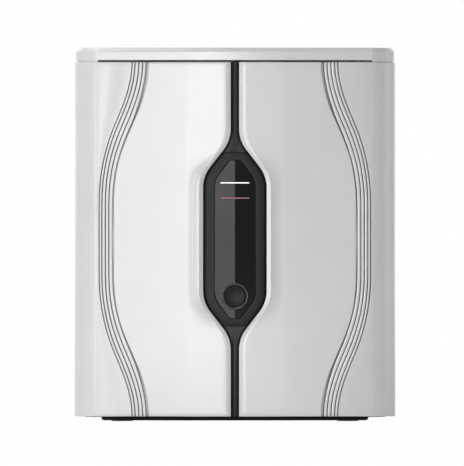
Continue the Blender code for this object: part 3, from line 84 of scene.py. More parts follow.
# Shares of the way across and of the way back, from the pod's edge to the door's crest
REVEAL_PATH = (
    (0.0, 1.0),
    (0.02, 0.48),
    (0.06, 0.38),
    (0.82, 0.06),
    (0.90, 0.025),
    (0.96, 0.006),
    (1.0, 0.0),
)
POD_HALF_WIDTH = CREST_X - REVEAL_WIDTH
SPINE_HALF_WIDTH = 0.0048
POD_SHOULDER = 0.0739
POD_SLOPE = 0.772
POD_TURN = math.atan(POD_SLOPE)
POD_RADIUS = 0.040
CORE_Y = FACE_Y + 0.004
EDGE_BACK = 0.008
EDGE_FLAT = 0.004
COLLAR_FULL = 0.060
COLLAR_END = 0.108
COLLAR_FALL = 2.5
FIT = 0.0003

# Bezel and window
BEZEL_GAP = 0.0026
SEAL_GAP = 0.0005
SEAL_SETBACK = 0.0028
BEZEL_END = 0.1025
BEZEL_FRONT = FACE_Y + 0.0006
BEZEL_ROUND = 0.0009
BEZEL_LIP = 0.0005
WINDOW_INSET = 0.0133
WINDOW_END = 0.0922
RIDGE_Y = FACE_Y - 0.0008
RIDGE_SLOPE = 0.084
WINDOW_EDGE = 0.0006
WINDOW_BREAK = WINDOW_EDGE * 0.3
BAR_LENGTH = 0.0342
BAR_HEIGHT = 0.0017
BAR_FRONT = FACE_Y - 0.0003
BAR_EDGE = 0.0002

# Round control
CONTROL_Z = 0.1463
RING_RADIUS = 0.0154
KNOB_RADIUS = 0.0118
RING_DIP = 0.0020
RING_FALL = 1.3
RING_BEAD = 0.0006
RING_CROWN = 0.6
KNOB_DIP = 0.0012
KNOB_DISH = 0.9
KNOB_FALL = 2.2
KNOB_SETBACK = 0.0014
KNOB_THICKNESS = 0.0026
SHAFT_RADIUS = 0.003
# The dial's edge: shares of its radius, and depths
KNOB_EDGE = (
    (0.9, 0.0002),
    (0.94, 0.0),
    (0.975, 0.0001),
    (1.0, 0.0006),
)

# S-shaped grooves
GROOVE_OUTER_MID = 0.1590
GROOVE_OUTER_TOP = 0.1204
GROOVE_SPAN_MID = 0.0163
GROOVE_SPAN_TOP = 0.0177
GROOVE_SHARES = (1.0, 0.7, 0.45, 0.2, 0.0)
GROOVE_HALF_WIDTH = 0.0007
# The wide groove: height from the middle, half width, depth shares of its floor and outer edge
GROOVE_WIDE_MARKS = (
    (0.0, 0.00145, 0.27, 0.3),
    (0.05, 0.0011, 0.4, 0.5),
    (0.09, 0.0009, 0.8, 0.8),
    (0.137, 0.0013, 0.6, 0.9),
    (0.16, 0.0018, 0.4, 0.8),
    (0.1835, 0.0021, 0.31, 0.6),
    (0.22, 0.0022, 0.31, 0.6),
)
GROOVE_SPREAD = 0.0028
GROOVE_SPREAD_AT = 0.135
GROOVE_SPREAD_REACH = 0.040
LAND_RISE = 0.00016
CREASE_ROUND = 0.0006
GROOVE_DEPTH = 0.0012
# Depth share past which a point gets none of the painted groove shade
GROOVE_SHADE_LIMIT = 1.1
GROOVE_TURN = 0.1365
GROOVE_LEVEL = 0.038
GROOVE_EASE = 2.2
# Shares of a groove's half width and of its depth
GROOVE_DIPS = (
    (-1.0, 0.0),
    (-0.85, 0.3),
    (-0.6, 0.85),
    (0.0, 1.0),
    (0.6, 0.85),
    (0.85, 0.3),
    (1.0, 0.0),
)

# Ribs and hinge ends of the doors
RIB_DEPTH = 0.010
RIB_THICKNESS = 0.0025
RIB_HEIGHTS = (-0.192, -0.045, 0.045, 0.192)
RIB_START = 0.0455
FLOOR_TOP = 0.0083
FRAME_BOTTOM = 0.417
NOTCH_SIDE = 0.0013
NOTCH_REACH = 0.0053
PIN_BORE = 0.0018
PIN_LENGTH = 0.0123

# Lid and side panels
LID_LOW_EDGE = BODY_TOP + 0.0022
LID_INSET = 0.001
LID_ROUND = 0.0045
LID_SHOULDER = 0.0047
LID_EDGE = 0.0005
# How far the lid draws in at its shoulder, at the end of its slope and near its top
LID_BREAK = LID_EDGE * 0.6
LID_SLOPE_DRAW = LID_ROUND * 0.66
LID_TOP_DRAW = LID_ROUND * 0.83
LIP_INSET = 0.0015
LIP_GAP = 0.0004
LID_WALL = 0.0025
SIDE_WALL = 0.0025
SIDE_FLANGE = 0.007
SIDE_ROUND = 0.003
SIDE_Y = HINGE_Y + BEAD_RADIUS + 0.001
REAR_RADIUS = 0.012
REAR_RETURN = 0.010

# Steps of the lofted shapes
ROW_STEP = 0.003
FACE_STEPS = 10
BEAD_STEPS = 12
LAND_STEPS = 6

# Reach of the mesh tools
MERGE_REACH = 0.000002
WELD_REACH = 0.00001
THINNEST_FACE = 0.000001
CUT_PAST = 0.002

# Angles past which an edge stays crisp
SMOOTH_ANGLE = math.radians(38)
CREASE_ANGLE = math.radians(20)
LID_ANGLE = math.radians(12)
WINDOW_ANGLE = math.radians(3)
NODE_ANGLE = math.radians(35)
SOFTENED_ANGLE = math.radians(40)


# ---------------------------------------------------------------- materials


def linear(text):
    """An sRGB hex colour as the linear values that Blender takes."""
    channels = [int(text[i : i + 2], 16) / 255 for i in (1, 3, 5)]
    return [c / 12.92 if c <= 0.04045 else ((c + 0.055) / 1.055) ** 2.4 for c in channels] + [1.0]


def node(tree, kind, inputs=None, **settings):
    """Adds a node with its settings, and its inputs as values or as sockets to link from."""
    made = tree.nodes.new(kind)
    for name, value in settings.items():
        setattr(made, name, value)
    for name, value in (inputs or {}).items():
        if isinstance(value, bpy.types.NodeSocket):
            tree.links.new(value, made.inputs[name])
        else:
            made.inputs[name].default_value = value
    return made


def new_material(name, **sockets):
    """A Principled material with uniform values set on the shader's own sockets."""
    made = bpy.data.materials.new(name)
    made.use_nodes = True
    shader = made.node_tree.nodes["Principled BSDF"]
    for socket, value in sockets.items():
        shader.inputs[socket.replace("_", " ")].default_value = value
    return made, made.node_tree, shader


def per_mm(size_mm):
    """Noise scale for features of about this size."""
    return 1000.0 / size_mm


def two_tones(tree, pattern, low, high, start=0.35, end=0.65):
    """A colour between two sRGB tones by a pattern."""
    ramp = node(tree, "ShaderNodeValToRGB", {"Fac": pattern})
    ramp.color_ramp.elements[0].position = start
    ramp.color_ramp.elements[0].color = linear(low)
    ramp.color_ramp.elements[1].position = end
    ramp.color_ramp.elements[1].color = linear(high)
    return ramp.outputs["Color"]


def span(tree, pattern, low, high):
    """A number between two limits by a pattern."""
    made = node(tree, "ShaderNodeMapRange", {"Value": pattern, "To Min": low, "To Max": high})
    return made.outputs["Result"]


def noise(tree, size_mm, detail=2.0, stretch=(1.0, 1.0, 1.0)):
    """A cloudy pattern of a real size, on the object's own coordinates."""
    place = node(tree, "ShaderNodeTexCoord").outputs["Object"]
    turned = node(tree, "ShaderNodeMapping", {"Vector": place, "Scale": stretch}).outputs["Vector"]
    values = {"Vector": turned, "Scale": per_mm(size_mm), "Detail": detail}
    made = node(tree, "ShaderNodeTexNoise", values)
    return made.outputs["Fac"]


def relief(tree, shader, pattern, height_mm, strength=1.0):
    """A bump of a real height."""
    values = {"Height": pattern, "Distance": height_mm / 1000, "Strength": strength}
    made = node(tree, "ShaderNodeBump", values)
    tree.links.new(made.outputs["Normal"], shader.inputs["Normal"])


def connect(tree, shader, **sockets):
    """Links patterns to the shader's own sockets."""
    for socket, value in sockets.items():
        tree.links.new(value, shader.inputs[socket.replace("_", " ")])


def white_abs():
    """Injection-moulded ABS, semi-gloss, with painted shade: its grooves are greyed by their depth.

    It gives soft highlights and crisp lines.
    """
    made, tree, shader = new_material("white_abs_moulded", IOR=1.53)
    cloud = noise(tree, 60, 3)
    white = two_tones(tree, cloud, "#E9EAE9", "#ECEDEC")
    # Painted shade: a grey mixed in by groove depth stands in for the shadow inside the grooves.
    depth = node(tree, "ShaderNodeAttribute", attribute_name="groove").outputs["Fac"]
    shade_share = node(tree, "ShaderNodeMapRange", {"Value": depth, "From Min": 0.1, "From Max": 0.4})
    values = {"Factor": shade_share.outputs["Result"], "A": white, "B": linear("#6E7071")}
    shaded_white = node(tree, "ShaderNodeMix", values, data_type="RGBA")
    connect(tree, shader, Base_Color=shaded_white.outputs["Result"])
    grain = noise(tree, 0.5, 2)
    connect(tree, shader, Roughness=span(tree, grain, 0.20, 0.26))
    relief(tree, shader, grain, 0.0015)
    return made


def white_powder_coat():
    """Powder-coated sheet steel: a slight orange peel that breaks up the highlights."""
    made, tree, shader = new_material("white_powder_coated_steel", IOR=1.5)
    cloud = noise(tree, 90, 2)
    connect(tree, shader, Base_Color=two_tones(tree, cloud, "#E6E7E6", "#EAEBEA"))
    peel = noise(tree, 2.2, 2)
    connect(tree, shader, Roughness=span(tree, peel, 0.40, 0.50))
    relief(tree, shader, peel, 0.012)
    return made


def black_abs():
    """Moulded black ABS with a coarse grain: dark, with a dull even sheen."""
    made, tree, shader = new_material("black_abs_moulded", IOR=1.53, Specular_IOR_Level=0.3)
    grain = noise(tree, 0.6, 2)
    connect(tree, shader, Base_Color=two_tones(tree, grain, "#1B1C1C", "#212222"))
    connect(tree, shader, Roughness=span(tree, grain, 0.42, 0.55))
    relief(tree, shader, grain, 0.006)
    return made


def satin_black_abs():
    """Moulded black ABS with a fine satin polish, for the frame and the control."""
    made, tree, shader = new_material("black_abs_satin", IOR=1.53, Specular_IOR_Level=0.12)
    grain = noise(tree, 0.4, 2)
    connect(tree, shader, Base_Color=two_tones(tree, grain, "#1B1C1C", "#1F2020"))
    connect(tree, shader, Roughness=span(tree, grain, 0.30, 0.40))
    relief(tree, shader, grain, 0.003)
    return made


def shaded_black_powder_coat():
    """Powder-coated sheet steel, matt black, made darker than the black mouldings as painted shade
    under the doors.
    """
    made, tree, shader = new_material("black_powder_coated_steel_with_painted_shade", IOR=1.5, Specular_IOR_Level=0.1)
    peel = noise(tree, 2.2, 2)
    # Painted shade: these near-black tones darken a black part further, standing in for the shadow
    # under the doors.
    connect(tree, shader, Base_Color=two_tones(tree, peel, "#060606", "#0A0A0A"))
    connect(tree, shader, Roughness=span(tree, peel, 0.6, 0.75))
    relief(tree, shader, peel, 0.01)
    return made


def polished_black_abs():
    """Black ABS moulded in a polished tool, for the control's rim: a thin clear highlight."""
    made, tree, shader = new_material("black_abs_polished", IOR=1.53, Specular_IOR_Level=0.5)
    wave = noise(tree, 8, 1)
    connect(tree, shader, Base_Color=two_tones(tree, wave, "#121313", "#161717"))
    connect(tree, shader, Roughness=span(tree, wave, 0.22, 0.28))
    return made


def black_acrylic():
    """Cast acrylic, back-printed black and polished: deep, with clear reflections."""
    made, tree, shader = new_material("black_acrylic_polished", IOR=1.49, Specular_IOR_Level=0.12)
    wave = noise(tree, 25, 1)
    connect(tree, shader, Base_Color=two_tones(tree, wave, "#0D0E0E", "#101111"))
    connect(tree, shader, Roughness=span(tree, wave, 0.10, 0.14))
    return made


def lit_guide(name, colour, rim, strength):
    """Moulded diffusing polycarbonate, lit from behind: an even glow with a duller rim."""
    made, tree, shader = new_material(name, Roughness=0.35, IOR=1.58, Emission_Strength=strength)
    cloud = noise(tree, 6, 1)
    tone = two_tones(tree, cloud, rim, colour, 0.2, 0.5)
    connect(tree, shader, Base_Color=tone, Emission_Color=tone)
    return made


def zinc_steel():
    """Zinc-plated sheet steel: grey metal with a faint spangle and rolled streaks."""
    made, tree, shader = new_material("zinc_plated_steel", Metallic=1.0)
    spangle = noise(tree, 9, 3)
    connect(tree, shader, Base_Color=two_tones(tree, spangle, "#B4B7B9", "#BFC2C4"))
    streak = noise(tree, 1.2, 2, (1.0, 1.0, 0.06))
    connect(tree, shader, Roughness=span(tree, streak, 0.32, 0.48))
    relief(tree, shader, streak, 0.004)
    return made


def stainless_steel():
    """Brushed stainless steel: fine lines along the piece that spread the highlight."""
    made, tree, shader = new_material("stainless_steel_brushed", Metallic=1.0, Anisotropic=0.4)
    line = noise(tree, 0.8, 3, (1.0, 1.0, 0.04))
    connect(tree, shader, Base_Color=two_tones(tree, line, "#B5B5B1", "#CBCBC8"))
    connect(tree, shader, Roughness=span(tree, line, 0.22, 0.36))
    relief(tree, shader, line, 0.003)
    return made


def rubber():
    """Moulded nitrile rubber: near black and matt, with a dusty bloom."""
    made, tree, shader = new_material("nitrile_rubber_moulded", IOR=1.52, Specular_IOR_Level=0.2)
    bloom = noise(tree, 4, 3)
    connect(tree, shader, Base_Color=two_tones(tree, bloom, "#101010", "#181818"))
    connect(tree, shader, Roughness=span(tree, bloom, 0.75, 0.9))
    relief(tree, shader, bloom, 0.02)
    return made


def polypropylene(name, low, high):
    """Moulded polypropylene: a waxy, slightly uneven surface."""
    depth = {"Subsurface_Weight": 0.05, "Subsurface_Scale": 0.002}
    made, tree, shader = new_material(name, IOR=1.49, **depth)
    cloud = noise(tree, 30, 3)
    connect(tree, shader, Base_Color=two_tones(tree, cloud, low, high))
    grain = noise(tree, 0.8, 2)
    connect(tree, shader, Roughness=span(tree, grain, 0.42, 0.52))
    relief(tree, shader, grain, 0.006)
    return made


def circuit_board():
    """Glass-epoxy laminate under green solder resist: its tracks are raised, lighter lines."""
    made, tree, shader = new_material("glass_epoxy_board", IOR=1.55)
    place = node(tree, "ShaderNodeTexCoord").outputs["Object"]
    values = {"Vector": place, "Scale": per_mm(2.6), "Randomness": 0.35}
    kind = {"distance": "MANHATTAN", "feature": "DISTANCE_TO_EDGE"}
    cells = node(tree, "ShaderNodeTexVoronoi", values, **kind)
    tracks = cells.outputs["Distance"]
    connect(tree, shader, Base_Color=two_tones(tree, tracks, "#1F6B42", "#0E4A2A", 0.03, 0.09))
    connect(tree, shader, Roughness=span(tree, tracks, 0.30, 0.45))
    relief(tree, shader, tracks, 0.02)
    return made


def brass():
    """Turned brass: fine rings round the axis, a warm bright metal."""
    made, tree, shader = new_material("brass_turned", Metallic=1.0)
    ring = noise(tree, 0.7, 2, (0.05, 0.05, 1.0))
    connect(tree, shader, Base_Color=two_tones(tree, ring, "#B08D4A", "#C9A55E"))
    connect(tree, shader, Roughness=span(tree, ring, 0.22, 0.34))
    relief(tree, shader, ring, 0.004)
    return made


def water_tube():
    """Extruded polyethylene tube: milky, with light draw lines along it."""
    made, tree, shader = new_material("polyethylene_tube", IOR=1.51, Transmission_Weight=0.15)
    line = noise(tree, 3, 2)
    connect(tree, shader, Base_Color=two_tones(tree, line, "#D3DCE2", "#E4EBEF"))
    connect(tree, shader, Roughness=span(tree, line, 0.25, 0.35))
    return made


# ---------------------------------------------------------------- form


def face_drop(x):
    """How far the front face lies behind its foremost line."""
    if x <= CROWN_X:
        return CROWN_DROP * x / CROWN_X
    return CROWN_DROP + PANEL_DROP * (x - CROWN_X) / (CORNER_X - CROWN_X)


def corner_path(inset, steps=16):
    """The rolled front corner in plan, from the crease to the side."""
    across = HALF_WIDTH - inset - CORNER_X - CORNER_ROUND * (1 - math.sin(CORNER_TURN))
    back = CORNER_SWEEP - inset
    front = FACE_Y + face_drop(CORNER_X) + inset
    first, last = math.sin(CORNER_START), math.sin(CORNER_END)
    near, far = math.cos(CORNER_START), math.cos(CORNER_END)
    path = []
    for i in range(steps + 1):
        angle = CORNER_START + (CORNER_END - CORNER_START) * i / steps
        x = CORNER_X + across * (math.sin(angle) - first) / (last - first)
        path.append((x, front + back * (near - math.cos(angle)) / (near - far)))
    x, y = path[-1]
    for i in range(1, 5):
        turn = CORNER_TURN + (math.pi / 2 - CORNER_TURN) * i / 4
        out = CORNER_ROUND * (math.sin(turn) - math.sin(CORNER_TURN))
        path.append((x + out, y + CORNER_ROUND * (math.cos(CORNER_TURN) - math.cos(turn))))
    return path


def pod_marks(outset):
    """The bends of the pod's outline, moved out."""
    wide = POD_HALF_WIDTH + outset
    narrow = SPINE_HALF_WIDTH + outset
    half = math.tan(POD_TURN / 2)
    shoulder = POD_SHOULDER + outset * half
    neck = shoulder + (wide - narrow) / POD_SLOPE
    return wide, narrow, shoulder, neck, POD_RADIUS + outset, POD_RADIUS - outset, half


def pod_half_width(s, outset=0.0):
    """Half width of the pod's outline at a distance above or below its middle."""
    wide, narrow, shoulder, neck, outer, inner, half = pod_marks(outset)
    s = abs(s)
    if s <= shoulder - outer * half:
        return wide
    if s <= shoulder + outer * half * math.cos(POD_TURN):
        reach = s - (shoulder - outer * half)
        return wide - outer + math.sqrt(outer**2 - reach**2)
    if s <= neck - inner * half * math.cos(POD_TURN):
        return wide - (s - shoulder) * POD_SLOPE
    if s <= neck + inner * half:
        reach = neck + inner * half - s
        return narrow + inner - math.sqrt(inner**2 - reach**2)
    return narrow


def collar(s):
    """Height of the raised collar beside the pod."""
    t = min(1.0, max(0.0, (COLLAR_END - abs(s)) / (COLLAR_END - COLLAR_FULL)))
    return COLLAR_RISE * t * t * (3 - 2 * t)


def groove_x(s, share):
    """Distance of a groove from the middle."""
    s = abs(s)
    if s > GROOVE_TURN:
        end = HALF_BODY - GROOVE_TURN
        rise = (1 - math.sin(math.pi / 2 * (s - GROOVE_TURN) / end)) / 2
    else:
        gone = min(1.0, (GROOVE_TURN - s) / (GROOVE_TURN - GROOVE_LEVEL))
        rise = (2 - (1 - gone) ** GROOVE_EASE) / 2
    middle = GROOVE_OUTER_MID - GROOVE_SPAN_MID * share
    top = GROOVE_OUTER_TOP - GROOVE_SPAN_TOP * share
    spread = math.exp(-(((s - GROOVE_SPREAD_AT) / GROOVE_SPREAD_REACH) ** 2))
    return top + (middle - top) * rise - GROOVE_SPREAD * share * spread


def select_only(obj):
    """Makes a piece the one that the tools work on."""
    bpy.ops.object.select_all(action="DESELECT")
    obj.select_set(True)
    bpy.context.view_layer.objects.active = obj


def apply_all(obj):
    """Applies the piece's modifiers and puts its place in its mesh."""
    select_only(obj)
    for modifier in list(obj.modifiers):
        bpy.ops.object.modifier_apply(modifier=modifier.name)
    bpy.ops.object.transform_apply(location=True, rotation=True, scale=True)


def edit(obj, *steps):
    """Runs edit-mode steps on all of a piece's mesh."""
    select_only(obj)
    bpy.ops.object.mode_set(mode="EDIT")
    bpy.ops.mesh.select_all(action="SELECT")
    for step in steps:
        step()
    bpy.ops.object.mode_set(mode="OBJECT")


def face_out():
    """Turns every face outwards."""
    bpy.ops.mesh.normals_make_consistent(inside=False)


def merge_points():
    """Joins the points where a sheet meets itself."""
    bpy.ops.mesh.remove_doubles(threshold=MERGE_REACH)


def smooth(obj, angle=SMOOTH_ANGLE):
    """Shades a piece smooth up to an angle between its faces."""
    select_only(obj)
    bpy.ops.object.shade_smooth_by_angle(angle=angle)


def skin(name, rows):
    """A sheet of vertices shaped row by row. A row that closes repeats its first point."""
    bpy.ops.object.select_all(action="DESELECT")
    across, along = len(rows[0]) - 1, len(rows) - 1
    bpy.ops.mesh.primitive_grid_add(x_subdivisions=across, y_subdivisions=along, size=1.0)
    obj = bpy.context.active_object
    obj.name = name
    obj.data.name = name
    flat = [value for row in rows for point in row for value in point]
    obj.data.vertices.foreach_set("co", flat)
    obj.data.update()
    return obj


def tube_of(name, rows):
    """A closed body lofted through rows, capped at both ends."""
    obj = skin(name, [[*row, row[0]] for row in rows])
    edit(obj, merge_points)
    edit(obj, close_each_end, face_out)
    return obj


def close_each_end():
    """Caps the open ends of a tube."""
    bpy.ops.mesh.fill_holes(sides=0)


def ring_of(name, rows):
    """A body lofted through rows that come back to the first one."""
    closed = [[*row, row[0]] for row in rows]
    obj = skin(name, [*closed, closed[0]])
    edit(obj, merge_points, face_out)
    return obj


def slab(name, outline, low, high):
    """An outline in plan, drawn from a circle's points and extruded upwards."""
    bpy.ops.object.select_all(action="DESELECT")
    bpy.ops.mesh.primitive_circle_add(vertices=len(outline), radius=1.0, fill_type="NGON")
    obj = bpy.context.active_object
    obj.name = name
    obj.data.name = name
    obj.data.vertices.foreach_set("co", [value for x, y in outline for value in (x, y, low)])
    obj.data.update()
    select_only(obj)
    bpy.ops.object.mode_set(mode="EDIT")
    bpy.ops.mesh.select_all(action="SELECT")
    move = {"value": (0.0, 0.0, high - low)}
    bpy.ops.mesh.extrude_region_move(TRANSFORM_OT_translate=move)
    bpy.ops.mesh.select_all(action="SELECT")
    bpy.ops.mesh.normals_make_consistent(inside=False)
    bpy.ops.object.mode_set(mode="OBJECT")
    return obj


def turned(name, profile, place, sides=64):
    """A closed outline of (radius, depth behind the place) spun about the front-to-back axis."""
    bpy.ops.object.select_all(action="DESELECT")
    bpy.ops.mesh.primitive_circle_add(vertices=len(profile), radius=1.0, fill_type="NOTHING")
    obj = bpy.context.active_object
    obj.name = name
    obj.data.name = name
    centre = Vector(place)
    points = [centre + Vector((radius, depth, 0.0)) for radius, depth in profile]
    obj.data.vertices.foreach_set("co", [value for point in points for value in point])
    obj.data.update()
    select_only(obj)
    bpy.ops.object.mode_set(mode="EDIT")
    bpy.ops.mesh.select_all(action="SELECT")
    bpy.ops.mesh.spin(steps=sides, angle=2 * math.pi, center=centre, axis=(0.0, 1.0, 0.0))
    bpy.ops.mesh.select_all(action="SELECT")
    bpy.ops.mesh.remove_doubles(threshold=MERGE_REACH)
    bpy.ops.mesh.dissolve_degenerate(threshold=THINNEST_FACE)
    bpy.ops.mesh.normals_make_consistent(inside=False)
    bpy.ops.object.mode_set(mode="OBJECT")
    return obj


def cut_with(obj, cutter, operation="DIFFERENCE"):
    """Cuts or joins another piece and removes it."""
    modifier = obj.modifiers.new("cut", "BOOLEAN")
    modifier.operation = operation
    modifier.solver = "EXACT"
    modifier.object = cutter
    select_only(obj)
    bpy.ops.object.modifier_apply(modifier=modifier.name)
    bpy.data.objects.remove(cutter, do_unlink=True)


def block(low, high):
    """A cutter between two corners."""
    bpy.ops.object.select_all(action="DESELECT")
    middle = (Vector(low) + Vector(high)) / 2
    bpy.ops.mesh.primitive_cube_add(size=1.0, location=middle, scale=Vector(high) - Vector(low))
    obj = bpy.context.active_object
    apply_all(obj)
    return obj


def rod(radius, start, end, sides=32):
    """A round cutter between two points on one axis."""
    bpy.ops.object.select_all(action="DESELECT")
    way = Vector(end) - Vector(start)
    turn = Vector((0.0, 0.0, 1.0)).rotation_difference(way).to_euler()
    middle = (Vector(start) + Vector(end)) / 2
    bpy.ops.mesh.primitive_cylinder_add(
        vertices=sides, radius=radius, depth=way.length, location=middle, rotation=turn
    )
    obj = bpy.context.active_object
    apply_all(obj)
    return obj


def dress(obj, material, body, *nodes, slot=None):
    """Gives a piece its material and body, and hides the nodes it stands for."""
    obj.data.materials.clear()
    obj.data.materials.append(material)
    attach(obj, body)
    if nodes:
        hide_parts(*nodes)
    return obj


def mirrored(obj, name):
    """The same piece on the other side of the middle."""
    copy = obj.copy()
    copy.data = obj.data.copy()
    bpy.context.scene.collection.objects.link(copy)
    copy.name = name
    copy.data.name = name
    copy.scale = (-1.0, 1.0, 1.0)
    apply_all(copy)
    edit(copy, face_out)
    return copy


def wide_groove(s):
    """Half width and dips of the wide groove: broad and shallow upright, narrow and deep aslant."""
    s = abs(s)
    for before, after in zip(GROOVE_WIDE_MARKS, GROOVE_WIDE_MARKS[1:]):
        if s <= after[0]:
            break
    t = (s - before[0]) / (after[0] - before[0])
    t = t * t * (3 - 2 * t)
    half, floor, edge = [a + (b - a) * t for a, b in zip(before[1:], after[1:])]
    dips = (
        (-1.0, 0.0),
        (-0.88, floor * 0.85),
        (0.2, floor),
        (0.45, edge),
        (0.7, edge),
        (0.9, edge / 3),
        (1.0, 0.0),
    )
    return half, dips


def reeding(s):
    """The grooves and the crowned lands between them at a height: places across and depths."""
    middles = [groove_x(s, share) for share in GROOVE_SHARES]
    broad, broad_dips = wide_groove(s)
    halves = [broad] + [GROOVE_HALF_WIDTH] * (len(middles) - 1)
    points = []
    for i, (middle, half) in enumerate(zip(middles, halves)):
        dips = GROOVE_DIPS if i else broad_dips
        points += [(middle + half * across, GROOVE_DEPTH * depth) for across, depth in dips]
        if i + 1 < len(middles):
            start = middle + half
            land = middles[i + 1] - halves[i + 1] - start
            for j in range(1, LAND_STEPS):
                crown = LAND_RISE * j * (LAND_STEPS - j) / (LAND_STEPS / 2) ** 2
                points.append((start + land * j / LAND_STEPS, -crown))
    return points


def door_row(s, inset):
    """Plan section of the right door at a height, its outer skin drawn in by the inset."""
    edge = pod_half_width(s)
    crest = edge + REVEAL_WIDTH
    rise = collar(s)
    front = FACE_Y + face_drop(crest) - rise
    points = []
    for across, back in REVEAL_PATH:
        y = front + (CORE_Y - front) * back + inset * (1 - back)
        points.append((edge + REVEAL_WIDTH * across, y))
    last = CROWN_X - CREASE_ROUND
    for i in range(1, FACE_STEPS + 1):
        x = crest + (last - crest) * i / FACE_STEPS
        bump = rise * (1 - i / FACE_STEPS) ** COLLAR_FALL
        points.append((x, FACE_Y + face_drop(x) - bump + inset))
    for x, depth in [(CROWN_X + CREASE_ROUND, 0.0), *reeding(s)]:
        points.append((x, FACE_Y + face_drop(x) + depth + inset))
    points += corner_path(inset)
    radius = BEAD_RADIUS
    for i in range(BEAD_STEPS + 1):
        angle = BEAD_TURN * i / BEAD_STEPS
        out = radius - (inset if angle < math.pi / 2 else 0.0)
        points.append((HINGE_X + out * math.cos(angle), HINGE_Y + radius * math.sin(angle)))
    points += reversed(corner_path(DOOR_WALL))
    points.append((CROWN_X, FACE_Y + face_drop(CROWN_X) + DOOR_WALL))
    points.append((crest + EDGE_FLAT, FACE_Y + EDGE_BACK))
    points.append((edge, FACE_Y + EDGE_BACK))
    return [(x, y, MID_Z + s) for x, y in points]


def door_rows():
    """Heights from the middle with their insets: even steps, and a rounded rim at each end."""
    straight = HALF_BODY - RIM_ROUND
    count = round(2 * straight / ROW_STEP)
    rows = [(-straight + 2 * straight * i / count, 0.0) for i in range(count + 1)]
    rim = []
    for i in (1, 2, 3):
        turn = math.pi / 2 * i / 3
        rim.append((straight + RIM_ROUND * math.sin(turn), RIM_ROUND * (1 - math.cos(turn))))
    return [(-s, inset) for s, inset in reversed(rim)] + rows + rim


def rib_outline(s):
    """Plan of a level rib behind the door's skin."""
    start = max(RIB_START, pod_half_width(s) + REVEAL_WIDTH + EDGE_FLAT)
    path = []
    for inset in (DOOR_WALL / 2, DOOR_WALL + RIB_DEPTH):
        front = [(x, FACE_Y + face_drop(x) + inset) for x in (start, CROWN_X)]
        path.append(front + corner_path(inset)[:-1])
    return path[0] + path[1][::-1]


def mark_groove_shade(obj):
    """Stores how deep each vertex lies in a groove, for the painted shade that greys it."""
    held = obj.data.attributes.new("groove", "FLOAT", "POINT")
    for vertex in obj.data.vertices:
        x, y, _ = vertex.co
        depth = (y - FACE_Y - face_drop(x)) / GROOVE_DEPTH
        in_reach = CROWN_X + CREASE_ROUND < x < CORNER_X - FIT
        held.data[vertex.index].value = depth if in_reach and 0.0 < depth < GROOVE_SHADE_LIMIT else 0.0


def doors(white):
    """The right door, cut for its hinges and ribbed inside, and its mirror image."""
    right = tube_of("right_door_skin", [door_row(s, inset) for s, inset in door_rows()])
    bottom = FLOOR_TOP + FIT
    top = FRAME_BOTTOM - FIT
    corner = (HALF_WIDTH - 2 * BEAD_RADIUS - NOTCH_SIDE, HINGE_Y - BEAD_RADIUS - NOTCH_SIDE)
    far = (HALF_WIDTH + FIT, HINGE_Y + BEAD_RADIUS + FIT)
    cut_with(right, block((*corner, BODY_BOTTOM - FIT), (*far, bottom + NOTCH_REACH)))
    cut_with(right, block((*corner, top - NOTCH_REACH), (*far, BODY_TOP + FIT)))
    for low, high in (
        (bottom + NOTCH_REACH - FIT, bottom + NOTCH_REACH + PIN_LENGTH),
        (top - NOTCH_REACH - PIN_LENGTH, top - NOTCH_REACH + FIT),
    ):
        cut_with(right, rod(PIN_BORE, (HINGE_X, HINGE_Y, low), (HINGE_X, HINGE_Y, high)))
    for s in RIB_HEIGHTS:
        low = MID_Z + s - RIB_THICKNESS / 2
        cut_with(right, slab("rib", rib_outline(s), low, low + RIB_THICKNESS), "UNION")
    mark_groove_shade(right)
    smooth(right, CREASE_ANGLE)
    left = mirrored(right, "left_door_skin")
    smooth(left, CREASE_ANGLE)
    dress(right, white, "right_door", "right_door", slot="white_moulding")
    dress(left, white, "left_door", "left_door", slot="white_moulding")


def body_outline(inset, steps=8):
    """Plan of the whole body, set in from its outer skin."""
    side = HALF_WIDTH - inset
    rear = REAR_Y - inset
    corner = REAR_RADIUS - inset
    right = [(x, FACE_Y + face_drop(x) + inset) for x in (0.0, CROWN_X)]
    right += corner_path(inset)
    for i in range(steps + 1):
        angle = math.pi / 2 * i / steps
        x = side - corner + corner * math.cos(angle)
        right.append((x, rear - corner + corner * math.sin(angle)))
    return right + [(-x, y) for x, y in reversed(right) if x > 0]


def pick_edges(obj, test):
    """Selects the edges whose both ends pass the test."""
    for group in (obj.data.polygons, obj.data.vertices, obj.data.edges):
        for item in group:
            item.select = False
    for item in obj.data.edges:
        item.select = all(test(obj.data.vertices[i].co) for i in item.vertices)


def edge_tool(obj, test, tool, **settings):
    """Runs one edit-mode tool on the edges that pass the test."""
    select_only(obj)
    bpy.ops.object.mode_set(mode="EDIT")
    bpy.ops.mesh.select_mode(type="EDGE")
    bpy.ops.mesh.select_all(action="DESELECT")
    bpy.ops.object.mode_set(mode="OBJECT")
    pick_edges(obj, test)
    bpy.ops.object.mode_set(mode="EDIT")
    tool(**settings)
    bpy.ops.object.mode_set(mode="OBJECT")


def lip_outline(side):
    """Plan of the lip that closes the gap round a front corner."""
    outset, wall = LID_INSET + LIP_INSET, LID_INSET + LID_ROUND - FIT
    outer = corner_path(outset) + [(HALF_WIDTH - outset, HINGE_Y)]
    inner = corner_path(wall) + [(HALF_WIDTH - wall, HINGE_Y)]
    return [(side * x, y) for x, y in outer + inner[::-1]]


